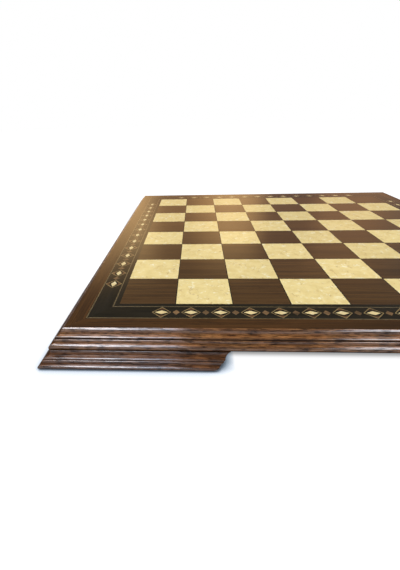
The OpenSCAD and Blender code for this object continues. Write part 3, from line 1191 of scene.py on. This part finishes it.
@dataclass
class PlayingSurface:
    """Squares of two kinds with black strings between them.

    Attributes:
        seam_r: Softening of the pieces' edges at the seams.
    """

    seam_r: float = 0.02 * MM

    def dress(self) -> None:
        """Finishes the squares and the strings."""
        finishes = {
            "walnut_squares": SQUARE_WALNUT, "pearl_squares": PEARL,
            "long_strings": EBONISED, "short_strings": EBONISED_CROSS,
        }
        dress_nodes(finishes, self.seam_r)


@dataclass
class Border:
    """Fillets, brass lines, black band, its motifs and the walnut rim.

    Attributes:
        seam_r: Softening of the pieces' edges at the seams.
    """

    seam_r: float = 0.02 * MM

    def dress(self) -> None:
        """Finishes each side's strips and then the motifs."""
        for side in Side:
            black = EBONISED if side.grain is Grain.ALONG_X else EBONISED_CROSS
            strips = {
                "fillet": black, "inner_line": BRASS, "band": black, "outer_line": BRASS,
                "rim": RIM[side.grain],
            }
            dress_nodes({f"{strip}_{side.word}": finish for strip, finish in strips.items()}, self.seam_r)
        motifs = {
            "lozenge_outlines": BRASS_OUTLINE, "lozenge_fields": EBONISED, "apex_triangles": APEX,
            "pearl_lozenges": PEARL_SMALL, "small_diamonds": MOTIF,
        }
        dress_nodes(motifs, self.seam_r)


@dataclass
class Panel:
    """Plywood core, its balancing veneer, and what is fixed and let in below it.

    Attributes:
        edge_r: Softening of the sheets' edges.
        block_r: Softening of the corner blocks.
        felt_r: Rounding of the felt discs.
    """

    edge_r: float = 0.15 * MM
    block_r: float = 0.4 * MM
    felt_r: float = 0.18 * MM

    def dress(self) -> None:
        """Finishes the sheets, the biscuits, the blocks and the discs."""
        sheets = {"core_panel": PLYWOOD, "backing_veneer": BACKING, "biscuits": BEECH}
        dress_nodes(sheets, self.edge_r)
        dress_node("corner_blocks", BLOCK, self.block_r)
        dress_node("felt_discs", FELT, self.felt_r)


@dataclass
class MouldedBar:
    """One moulded bar, built for the front and turned to its side.

    Attributes:
        half: Half the width of the playing surface.
        face: Marks down the moulded face.
        inner: Points of the section from the underside's inner edge up to the face's first mark.
        mitre_gap: Half of the hairline left at a mitre.
        hand_depth: How deep hand sanding goes at most.
        sanding: How fast the sanding changes along the bar and across it.
        mark_reach: How far from its mark a vertex still takes the mark's value of the mask.
    """

    half: float
    face: list[Mark]
    inner: list[Point]
    mitre_gap: float = 0.03 * MM
    hand_depth: float = 0.07 * MM
    sanding: tuple[float, float] = (26, 150)
    mark_reach: float = 0.4 * MM

    def normals(self) -> list[Vector]:
        """Finds the outward direction across the face at each mark.

        Returns:
            The directions, as offset and height.
        """
        found = []
        last = len(self.face) - 1
        for number in range(len(self.face)):
            before, after = self.face[max(number - 1, 0)], self.face[min(number + 1, last)]
            along = Vector((after.d - before.d, after.z - before.z))
            found.append(Vector((-along.y, along.x)).normalized())
        return found

    def mitre(self, d: float) -> float:
        """Distance of a mitre from the middle of the side, at an offset."""
        return self.half + d - self.mitre_gap

    def rings(
        self, stations: Sequence[float], end: Callable[[float, float], float],
        shrink: Callable[[float], float], seed: float,
    ) -> list[list[Vector]]:
        """Places the section's points at each station along the bar.

        Args:
            stations: Parts of the way from the left mitre to the other end, rising from 0 to 1.
            end: Where that end is, for a point's offset and height.
            shrink: How far the face is drawn in at a station.
            seed: Number that makes this bar's sanding its own.

        Returns:
            One closed ring of points per station, the face's marks first.
        """
        directions = self.normals()
        along, across = self.sanding
        found = []
        for part in stations:
            ring = []
            for mark, direction in zip(self.face, directions):
                x = -self.mitre(mark.d) * (1 - part) + end(mark.d, mark.z) * part
                uneven = noise.noise(Vector((x * along + seed, mark.d * across, mark.z * across + seed)))
                depth = self.hand_depth * min(max(0.5 + uneven, 0.0), 1.0) + shrink(part)
                d = mark.d - direction.x * depth
                ring.append(Vector((x, -self.half - d, mark.z - direction.y * depth)))
            for d, z in self.inner:
                x = -self.mitre(d) * (1 - part) + end(d, z) * part
                ring.append(Vector((x, -self.half - d, z)))
            found.append(ring)
        return found

    def skin(self, rings: list[list[Vector]], hand: Hand = Hand.LEFT) -> tuple[bmesh.types.BMesh, list[Ring]]:
        """Joins the rings with quads.

        Args:
            rings: The rings of points.
            hand: End of the side that the bar starts at.

        Returns:
            The open mesh and its rings of vertices.
        """
        shape = bmesh.new()
        flip = -float(hand.value)
        verts = [[shape.verts.new((p.x * flip, p.y, p.z)) for p in ring] for ring in rings]
        join_rings(shape, verts)
        return shape, verts

    def mark_wear(self, piece: bpy.types.Object, side: Side) -> None:
        """Writes each vertex's value of the edge and hollow mask from the nearest mark of the face.

        Args:
            piece: The bar's piece.
            side: Side that it lies on.
        """
        back = side.turn.inverted()
        layer = piece.data.attributes.new(Moulding.MASK, "FLOAT", "POINT")
        for vertex in piece.data.vertices:
            local = back @ vertex.co
            d = -local.y - self.half
            near = min(self.face, key=lambda mark: (mark.d - d) ** 2 + (mark.z - local.z) ** 2)
            close = math.hypot(near.d - d, near.z - local.z) < self.mark_reach
            layer.data[vertex.index].value = near.wear if close else 0.0

    def fit(
        self, shape: bmesh.types.BMesh, side: Side, node: str, woods: Sequence[Wood], seats: Sequence[str],
    ) -> None:
        """Turns a closed bar to its side, cuts its seats and puts it in place of its node.

        Args:
            shape: The bar's mesh, which is used up.
            side: Side that it lies on.
            node: Name of its node.
            woods: Its wood, and that of its sawn end if it has one.
            seats: Nodes that sit in it.
        """
        bmesh.ops.recalc_face_normals(shape, faces=shape.faces)
        bmesh.ops.transform(shape, matrix=side.turn, verts=shape.verts)
        piece = new_piece(f"moulded_{node}", shape, woods)
        carve(piece, [seat_cutter(name) for name in seats])
        self.mark_wear(piece, side)
        shade_by_angle(piece)
        enter(piece, woods[0], node)


@dataclass
class FrameRails:
    """Four mitred rails whose bead rises beside the rim over a moulded face.

    Attributes:
        moulding: The moulded face.
        panel_gap: Clearance round the core in its rebate.
        stations: Number of stretches along a rail.
        seed_step: Step from one side's sanding to the next one's.
    """

    moulding: Moulding = field(default_factory=lambda: Moulding(
        edge_r=2.1 * MM, neck_h=0.45 * MM, cove_r=1.85 * MM, shelf_w=0.75 * MM, torus_r=1.1 * MM,
        drop_h=0.75 * MM, step_w=0.4 * MM, step_r=0.5 * MM, cove2_r=1.1 * MM, nose_r=2.25 * MM,
        under=-0.6, groove=-1.0,
    ))
    panel_gap: float = 0.3 * MM
    stations: int = 72
    seed_step: float = 3.7

    def bar(self) -> MouldedBar:
        """Draws the front rail's section from the frame's seats.

        Returns:
            The bar.

        Raises:
            ValueError: If the moulding doesn't end at the node's face.
        """
        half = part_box("walnut_squares")[1].x
        low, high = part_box("rail_front")
        rim_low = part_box("rim_front")[0]
        inner_d, edge_d = -high.y - half, -rim_low.y - half
        rebate_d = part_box("core_panel")[1].x + self.panel_gap - half
        ledge_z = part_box("backing_veneer")[0].z
        if abs(edge_d + self.moulding.reach() + half + low.y) > SAME_LEVEL:
            raise ValueError("the rail's moulding doesn't reach its node's face")
        inner = [
            (inner_d, low.z), (inner_d, ledge_z), (rebate_d, ledge_z), (rebate_d, rim_low.z),
            (edge_d, rim_low.z),
        ]
        return MouldedBar(half, self.moulding.face(edge_d, high.z, low.z), inner)

    def build(self) -> None:
        """Builds the four rails in place of their nodes."""
        bar = self.bar()
        stations = [step / self.stations for step in range(self.stations + 1)]
        for side in Side:
            rings = bar.rings(
                stations, lambda d, z: bar.mitre(d), lambda part: 0.0, self.seed_step * side.value
            )
            shape, verts = bar.skin(rings)
            cap(shape, verts[0][::-1], verts[-1])
            bar.fit(shape, side, f"rail_{side.word}", (RAIL[side.grain],), ("biscuits", "foot_screws"))


@dataclass
class BracketFeet:
    """Eight moulded wings, two to a corner, each with a sawn toe.

    Attributes:
        moulding: The moulded face.
        toe_angle: Slope of the sawn end.
        toe_r: Radius of the toe.
        throat_r: Radius of the throat under the rail.
        stations: Number of stretches along a wing.
        soft_end: How far the face is drawn in at the sawn end.
        seed_step: Step from one side's sanding to the next one's.
    """

    moulding: Moulding = field(default_factory=lambda: Moulding(
        edge_r=0.6 * MM, neck_h=0.7 * MM, cove_r=2.4 * MM, shelf_w=0.5 * MM, torus_r=1.0 * MM,
        drop_h=0.4 * MM, step_w=0.45 * MM, step_r=0.5 * MM, cove2_r=1.45 * MM, nose_r=1.4 * MM,
    ))
    toe_angle: float = 50.0
    toe_r: float = 14 * MM
    throat_r: float = 1.5 * MM
    stations: int = 26
    soft_end: float = 0.25 * MM
    seed_step: float = 5.3

    def __post_init__(self) -> None:
        """Reads the wing's seats from the frame."""
        self.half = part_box("walnut_squares")[1].x
        self.low, self.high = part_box("foot_front_left")
        self.length = self.high.x - self.low.x

    @staticmethod
    def level(z: float) -> float:
        """Height by which marks at one level are told to belong together."""
        return round(z, 7)

    def sawn(self, z: float) -> float:
        """Follows the sawn end: round toe, straight slope, then the throat's curve.

        Args:
            z: Height above the floor.

        Returns:
            Length of the wing at that height.
        """
        angle = math.radians(self.toe_angle)
        throat_z = self.high.z - self.throat_r
        slope_top = throat_z + self.throat_r * math.cos(angle)
        if z >= slope_top:
            return self.length - math.sqrt(max(self.throat_r**2 - (z - throat_z) ** 2, 0.0))
        join = self.length - self.throat_r * math.sin(angle)
        toe_top = self.low.z + self.toe_r * (1 - math.cos(angle))
        if z >= toe_top:
            return join - (slope_top - z) / math.tan(angle)
        toe_x = join - (slope_top - toe_top) / math.tan(angle) - self.toe_r * math.sin(angle)
        toe_z = self.low.z + self.toe_r
        return toe_x + math.sqrt(max(self.toe_r**2 - (toe_z - z) ** 2, 0.0))

    def bar(self) -> MouldedBar:
        """Draws the front wing's section, with a point of the inner wall level with each mark.

        Returns:
            The bar.
        """
        edge_d = -self.low.y - self.half - self.moulding.reach()
        inner_d = -self.high.y - self.half
        face = self.moulding.face(edge_d, self.high.z, self.low.z)
        levels = sorted({self.level(mark.z) for mark in face})
        return MouldedBar(self.half, face, [(inner_d, z) for z in levels])

    def close_sawn_end(self, shape: bmesh.types.BMesh, ring: Ring, bar: MouldedBar) -> None:
        """Closes the sawn end with faces that each run level from the face to the inner wall.

        Args:
            shape: The wing's mesh.
            ring: Its last ring of vertices.
            bar: The bar that it follows.
        """
        count = len(bar.face)
        wall = {self.level(z): vertex for (_, z), vertex in zip(bar.inner, ring[count:])}
        for number in range(count - 1):
            far_one, far_two = (wall[self.level(mark.z)] for mark in bar.face[number:number + 2])
            corners = [ring[number], ring[number + 1], far_two]
            if far_one is not far_two:
                corners.append(far_one)
            shape.faces.new(corners).material_index = 1

    def build(self) -> None:
        """Builds the eight wings in place of their nodes."""
        bar = self.bar()
        soft = 1 - self.soft_end / self.length
        stations = [soft * step / self.stations for step in range(self.stations + 1)] + [1.0]
        for side in Side:
            for hand in Hand:
                rings = bar.rings(
                    stations, lambda d, z: self.sawn(z) + self.low.x,
                    lambda part: self.soft_end * (part == 1.0), self.seed_step * side.value + hand.value,
                )
                shape, verts = bar.skin(rings, hand)
                cap(shape, verts[0][::-1])
                self.close_sawn_end(shape, verts[-1], bar)
                node = f"foot_{side.word}_{side.neighbour(hand).word}"
                woods = (FOOT[side.grain], SAWN_END[side.grain])
                bar.fit(shape, side, node, woods, ("felt_discs", "foot_screws"))


@dataclass
class Screws:
    """Countersunk wood screws with a cross recess and a thread.

    Attributes:
        head_r: Radius of the head.
        head_h: Height of the countersink.
        lip_h: Height of the straight lip of the head.
        shank_r: Outer radius of the thread.
        root_r: Radius between the threads.
        pitch: Rise of the thread in one turn.
        crest: Half the width of the thread, as a part of the pitch.
        point: Length of the point, in radii of the thread.
        recess_w: Width of one arm of the cross.
        recess_l: Length of the cross from tip to tip.
        recess_h: Depth of the cross.
        recess_taper: Size of the cross at its bottom, as a part of that at the head's face.
        recess_turn: Turn of the cross at the middle of the board, in degrees.
        over: How far the cutter of the cross stands out of the head.
        crease: Turn between two faces from which their edge is sharp.
        same_head: How far apart two points of one head are at most, in radii of the head.
        around: Number of points round a screw.
        per_turn: Number of rings in one turn of the thread.
    """

    head_r: float = 3.0 * MM
    head_h: float = 2.4 * MM
    lip_h: float = 0.3 * MM
    shank_r: float = 1.5 * MM
    root_r: float = 1.05 * MM
    pitch: float = 1.3 * MM
    crest: float = 0.22
    point: float = 2.2
    recess_w: float = 0.8 * MM
    recess_l: float = 3.6 * MM
    recess_h: float = 1.3 * MM
    recess_taper: float = 0.55
    recess_turn: float = 20
    over: float = 0.2 * MM
    crease: float = 38
    same_head: float = 2.1
    around: int = 18
    per_turn: int = 6

    def radius(self, z: float, turn: float, length: float) -> float:
        """Follows the countersink, the thread and the point.

        Args:
            z: Height above the head's face.
            turn: Part of a full turn round the axis.
            length: Length of the screw.

        Returns:
            The screw's radius there.
        """
        if z < self.head_h:
            part = max(z - self.lip_h, 0.0) / (self.head_h - self.lip_h)
            return self.head_r + (self.root_r - self.head_r) * part
        phase = (z / self.pitch - turn) % 1.0
        thread = max(0.0, 1.0 - abs(phase - 0.5) / self.crest) * min(1.0, (z - self.head_h) / self.pitch)
        taper = min(1.0, (length - z) / (self.point * self.shank_r))
        return (self.root_r + (self.shank_r - self.root_r) * thread) * max(taper, 0.0)

    def turned(self, shape: bmesh.types.BMesh, centre: Vector, length: float) -> None:
        """Adds one screw, head down, to a mesh.

        Args:
            shape: The mesh.
            centre: Middle of the head's face.
            length: Length of the screw.
        """
        rise = self.pitch / self.per_turn
        threads = int((length - self.head_h) / rise)
        heights = [0.0, self.lip_h, self.head_h / 2, *(self.head_h + rise * step for step in range(threads))]
        rings = []
        for z in heights:
            ring = []
            for step in range(self.around):
                turn = step / self.around
                r = self.radius(z, turn, length)
                angle = 2 * math.pi * turn
                ring.append(shape.verts.new(centre + Vector((r * math.cos(angle), r * math.sin(angle), z))))
            rings.append(ring)
        join_rings(shape, rings)
        shape.faces.new(rings[0][::-1])
        tip = shape.verts.new(centre + Vector((0, 0, length)))
        for one, two in zip(rings[-1], rings[-1][1:] + rings[-1][:1]):
            shape.faces.new((one, two, tip))

    def recess(self, shape: bmesh.types.BMesh, centre: Vector) -> None:
        """Adds the cross that is cut out of one head, turned by where the screw sits.

        Args:
            shape: The mesh of the crosses.
            centre: Middle of the head's face.
        """
        turn = Matrix.Rotation(math.radians(self.recess_turn + centre.x / MM), 4, "Z")
        arm, reach = self.recess_w / 2, self.recess_l / 2
        corners = [
            (arm, arm), (arm, reach), (-arm, reach), (-arm, arm), (-reach, arm), (-reach, -arm),
            (-arm, -arm), (-arm, -reach), (arm, -reach), (arm, -arm), (reach, -arm), (reach, arm),
        ]
        rings = []
        for size, z in ((1.0, -self.over), (self.recess_taper, self.recess_h)):
            spots = (Vector((x * size, y * size, z)) for x, y in corners)
            rings.append([shape.verts.new(centre + turn @ spot) for spot in spots])
            shape.faces.new(rings[-1])
        join_rings(shape, rings)

    def centres(self, name: str) -> list[Vector]:
        """Finds the middles of the heads' faces from a node's mesh.

        Args:
            name: Name of the node.

        Returns:
            One point for each screw.
        """
        base_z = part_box(name)[0].z
        heads: list[list[Vector]] = []
        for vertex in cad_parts[name].data.vertices:
            if vertex.co.z > base_z + SAME_LEVEL:
                continue
            near = [head for head in heads if (head[0] - vertex.co).length < self.same_head * self.head_r]
            if near:
                near[0].append(vertex.co)
            else:
                heads.append([vertex.co])
        return [Vector((min(parts) + max(parts)) / 2 for parts in zip(*head)) for head in heads]

    def build(self, name: str) -> None:
        """Builds a node's screws in its place.

        Args:
            name: Name of the node.
        """
        low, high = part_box(name)
        shape = bmesh.new()
        crosses = bmesh.new()
        for centre in self.centres(name):
            self.turned(shape, centre, high.z - low.z)
            self.recess(crosses, centre)
        for made in (shape, crosses):
            bmesh.ops.recalc_face_normals(made, faces=made.faces)
        piece = new_piece(f"turned_{name}", shape, (STEEL,))
        carve(piece, [new_piece("cutter_cross", crosses)])
        shade_by_angle(piece, self.crease)
        enter(piece, STEEL, name)


# Studio


@dataclass(frozen=True)
class Strip:
    """A soft light of even brightness, which hangs over the board and runs from front to back.

    Attributes:
        name: Name of the light.
        x: Place of its middle line.
        width: Its width.
        level: Brightness, where 1 is a white surface in full light.
        tint: Its colour.
        y: Place of its middle.
        z: Height above the floor.
        length: Its length.
    """

    name: str
    x: float
    width: float
    level: float
    tint: Tint
    y: float = -0.46
    z: float = 1.2
    length: float = 2.26

    # Power in watts that gives one square metre of light a brightness of 1
    UNIT_POWER = 4.0

    def hang(self) -> None:
        """Adds the light to the scene, unseen by the camera itself."""
        data = bpy.data.lights.new(self.name, "AREA")
        data.shape = "RECTANGLE"
        data.size, data.size_y = self.width, self.length
        data.energy = self.UNIT_POWER * self.width * self.length * self.level
        data.color = self.tint
        light = bpy.data.objects.new(self.name, data)
        light.location = (self.x, self.y, self.z)
        light.visible_camera = False
        bpy.context.scene.collection.objects.link(light)


@dataclass
class Studio:
    """Pale floor, surroundings with a warm wall behind the board, soft lights and the camera.

    Attributes:
        floor_r: Radius of the floor.
        floor_colour: Colour of the floor under the lights.
        floor_glow: Light that the floor adds for the eye near the board.
        mirrored: Part of that light that mirrored rays see near the board.
        sweep: Distances at which the floor starts to brighten into the background and has done so.
        contact: How near the floor something has to be to dim that light as painted contact shadow,
            round the board and in front of it.
        front: Distance in front of the board over which the first of these turns into the second.
        open_from: Part of open sky below which the floor's painted shadow is as dark as it gets.
        least: Part of the light that stays there.
        inside: Distances inside the board's outline at which that light is dimmed by painted shadow
            and is whole.
        least_inside: Part of the light that stays there.
        cool: Tint of the painted shadow in front of the board.
        cool_reach: Distances inside the outline where that tint starts and is whole.
        surround: Level and tint of the surroundings' light.
        wall: Colours of the wall behind the board by the direction they are seen in, in degrees
            to the right of straight back.
        wall_top: Heights in degrees at which the wall starts to fade and has faded.
        horizon: Heights in degrees at which the white background of mirrored rays has faded and is whole.
        beside: Directions in degrees from straight back at which that background starts and is whole.
        strips: The lights.
        eye: Place of the camera.
        eye_turn: Its turns about X, Y and Z.
        lens: Its focal length in millimetres.
        shift: Its shift.
        clip: The nearest and farthest that it sees.
    """

    floor_r: float = 5.0
    floor_colour: Colour = (0.20, 0.204, 0.215, 1.0)
    floor_glow: float = 0.96
    mirrored: float = 0.16
    sweep: Span = (0.30, 1.1)
    contact: Span = (10.5 * MM, 12.5 * MM)
    front: float = 4.5 * MM
    open_from: float = 0.44
    least: float = 0.05
    inside: Span = (15.6 * MM, 8.5 * MM)
    least_inside: float = 0.35
    cool: Colour = (0.62, 0.87, 1.12, 1.0)
    cool_reach: Span = (40 * MM, 15 * MM)
    surround: Colour = (0.08, 0.08, 0.085, 1.0)
    wall: tuple[tuple[float, Tint], ...] = (
        (-180, (0.22, 0.24, 0.28)), (-168, (0.50, 0.55, 0.66)), (-118, (0.50, 0.55, 0.66)),
        (-95, (0.08, 0.08, 0.08)), (-60, (0.04, 0.04, 0.04)), (-27, (0.03, 0.025, 0.02)),
        (-20, (1.50, 0.88, 0.36)), (-10, (1.60, 0.98, 0.40)), (-6, (0.58, 0.30, 0.10)),
        (-2, (0.44, 0.21, 0.07)), (1, (0.85, 0.45, 0.15)), (5, (1.40, 0.80, 0.31)),
        (9, (1.15, 0.65, 0.25)), (12.5, (0.25, 0.11, 0.05)), (18, (0.20, 0.08, 0.035)),
        (21, (0.50, 0.24, 0.10)), (27, (0.50, 0.24, 0.10)), (34, (0.12, 0.10, 0.08)),
        (60, (0.06, 0.06, 0.06)), (166, (0.08, 0.08, 0.09)), (180, (0.22, 0.24, 0.28)),
    )
    wall_top: Span = (17.5, 29)
    horizon: Span = (6, 1)
    beside: Span = (60, 75)
    strips: tuple[Strip, ...] = (
        Strip("overhead_left", x=-0.58, width=0.32, level=5.4, tint=(0.89, 0.92, 1.01)),
        Strip("overhead_middle", x=-0.31, width=0.22, level=2.5, tint=(0.78, 0.90, 1.12)),
        Strip("overhead_right", x=0.86, width=0.60, level=3.35, tint=(0.88, 0.92, 1.01)),
    )
    eye: Place = (-0.1184, -0.4055, 0.1581)
    eye_turn: Place = (62.894, 1.442, 2.775)
    lens: float = 20.99
    shift: Point = (0.0378, -0.002)
    clip: Span = (0.01, 50.0)

    def shadow(self, bench: NodeBench, place: Socket) -> tuple[Socket, Socket]:
        """Paints the board's shadow into the floor's glow from what stands near each spot and its depth under
        the board.

        Args:
            bench: Bench on the floor's material.
            place: Place on the floor.

        Returns:
            How much of the floor's glow the painted shadow leaves, and the painted shadow's tint.
        """
        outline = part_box("rail_front")[1].x
        forward = bench.place("ShaderNodeSeparateXYZ", {0: place}).outputs[1]
        ahead = bench.step(forward, -outline, -outline - self.front)
        reach = bench.spread(ahead, *self.contact)
        around = bench.place("ShaderNodeAmbientOcclusion", {"Distance": reach}, samples=16)
        open_sky = bench.rise(around.outputs["AO"], self.open_from, 1.0)
        sides = bench.place("ShaderNodeSeparateXYZ", {0: bench.vector("ABSOLUTE", place)}).outputs
        depth = bench.calc("SUBTRACT", outline, bench.calc("MAXIMUM", sides[0], sides[1]))
        clear = bench.spread(bench.step(depth, *self.inside), self.least_inside, 1.0)
        left = bench.times(clear, bench.spread(open_sky, self.least, 1.0))
        in_front = bench.step(forward, *(reach - outline for reach in self.cool_reach))
        return left, bench.mix(open_sky, bench.mix(in_front, WHITE, self.cool), WHITE)

    def lay_floor(self) -> None:
        """Adds the floor, which looks white away from the board, keeps the lamps' shadow and has painted
        shadow in its glow.
        """
        shape = bmesh.new()
        bmesh.ops.create_circle(shape, cap_ends=True, segments=96, radius=self.floor_r)
        floor = new_piece("floor", shape)
        made = bpy.data.materials.new("floor_white")
        bench = NodeBench.cleared(made)
        place = bench.place("ShaderNodeTexCoord").outputs["Object"]
        away = bench.place("ShaderNodeVectorMath", {0: place}, operation="LENGTH").outputs["Value"]
        far = bench.step(away, *self.sweep)
        camera, shiny = bench.rays()
        seen = bench.calc("MAXIMUM", camera, bench.times(shiny, bench.spread(far, self.mirrored, 1.0)))
        left, tint = self.shadow(bench, place)
        glow = bench.times(bench.times(seen, bench.spread(far, self.floor_glow, 1.0)), left)
        lit = bench.place("ShaderNodeBsdfDiffuse", {"Color": self.floor_colour})
        glowing = bench.place("ShaderNodeEmission", {"Color": tint, "Strength": glow})
        both = bench.place("ShaderNodeAddShader", {0: lit.outputs[0], 1: glowing.outputs[0]})
        bench.place("ShaderNodeOutputMaterial", {"Surface": both.outputs[0]})
        floor.data.materials.append(made)

    def paint_wall(self, bench: NodeBench, azimuth: Socket) -> tuple[Socket, float]:
        """Lays the wall's colours round the horizon.

        Args:
            bench: Bench on the surroundings.
            azimuth: Direction in degrees.

        Returns:
            The colours, and the level that they are shares of.
        """
        first, last = self.wall[0][0], self.wall[-1][0]
        ramp = bench.place("ShaderNodeValToRGB", {0: bench.rise(azimuth, first, last)})
        stops = ramp.color_ramp.elements
        peak = max(max(colour) for _, colour in self.wall)
        while len(stops) < len(self.wall):
            stops.new(1.0)
        for stop, (turn, colour) in zip(stops, self.wall):
            stop.position = (turn - first) / (last - first)
            stop.color = (*(level / peak for level in colour), 1.0)
        return ramp.outputs[0], peak

    def set_surround(self) -> None:
        """Sets the surroundings: white for the eye, the warm wall behind, dim elsewhere."""
        world = bpy.data.worlds.new("surround")
        bpy.context.scene.world = world
        bench = NodeBench.cleared(world)
        direction = bench.place("ShaderNodeTexCoord").outputs["Generated"]
        parts = bench.place("ShaderNodeSeparateXYZ", {0: direction}).outputs
        azimuth = bench.calc("DEGREES", bench.calc("ARCTAN2", parts[0], parts[1]))
        elevation = bench.calc("DEGREES", bench.calc("ARCSINE", parts[2]))
        wall, peak = self.paint_wall(bench, azimuth)
        wall = bench.dimmed(wall, bench.times(bench.step(elevation, *self.wall_top[::-1]), peak))
        colour = bench.mix(1.0, wall, self.surround, "ADD")

        camera, shiny = bench.rays()
        beside = bench.step(bench.calc("ABSOLUTE", azimuth), *self.beside)
        level = bench.times(bench.step(elevation, *self.horizon), beside)
        shown = bench.calc("MAXIMUM", bench.times(shiny, level), camera)
        colour = bench.mix(shown, colour, WHITE)
        back = bench.place("ShaderNodeBackground", {"Color": colour, "Strength": 1.0})
        bench.place("ShaderNodeOutputWorld", {"Surface": back.outputs[0]})

    def set_camera(self) -> None:
        """Sets the camera where the photograph was taken from."""
        data = bpy.data.cameras.new("camera")
        data.lens = self.lens
        data.shift_x, data.shift_y = self.shift
        data.clip_start, data.clip_end = self.clip
        camera = bpy.data.objects.new("camera", data)
        camera.location = self.eye
        camera.rotation_euler = Euler([math.radians(turn) for turn in self.eye_turn], "XYZ")
        bpy.context.scene.collection.objects.link(camera)
        bpy.context.scene.camera = camera

    def build(self) -> None:
        """Sets the whole studio up."""
        self.lay_floor()
        self.set_surround()
        for strip in self.strips:
            strip.hang()
        self.set_camera()
        bpy.context.scene.view_settings.view_transform = "Standard"
        log.info("studio: %d lights", len(self.strips))


def main() -> None:
    """Builds and dresses the sub-assemblies in order, then the studio."""
    PlayingSurface().dress()
    Border().dress()
    Panel().dress()
    FrameRails().build()
    BracketFeet().build()
    screws = Screws()
    screws.build("block_screws")
    screws.build("foot_screws")
    Studio().build()


if __name__ == "__main__":
    main()
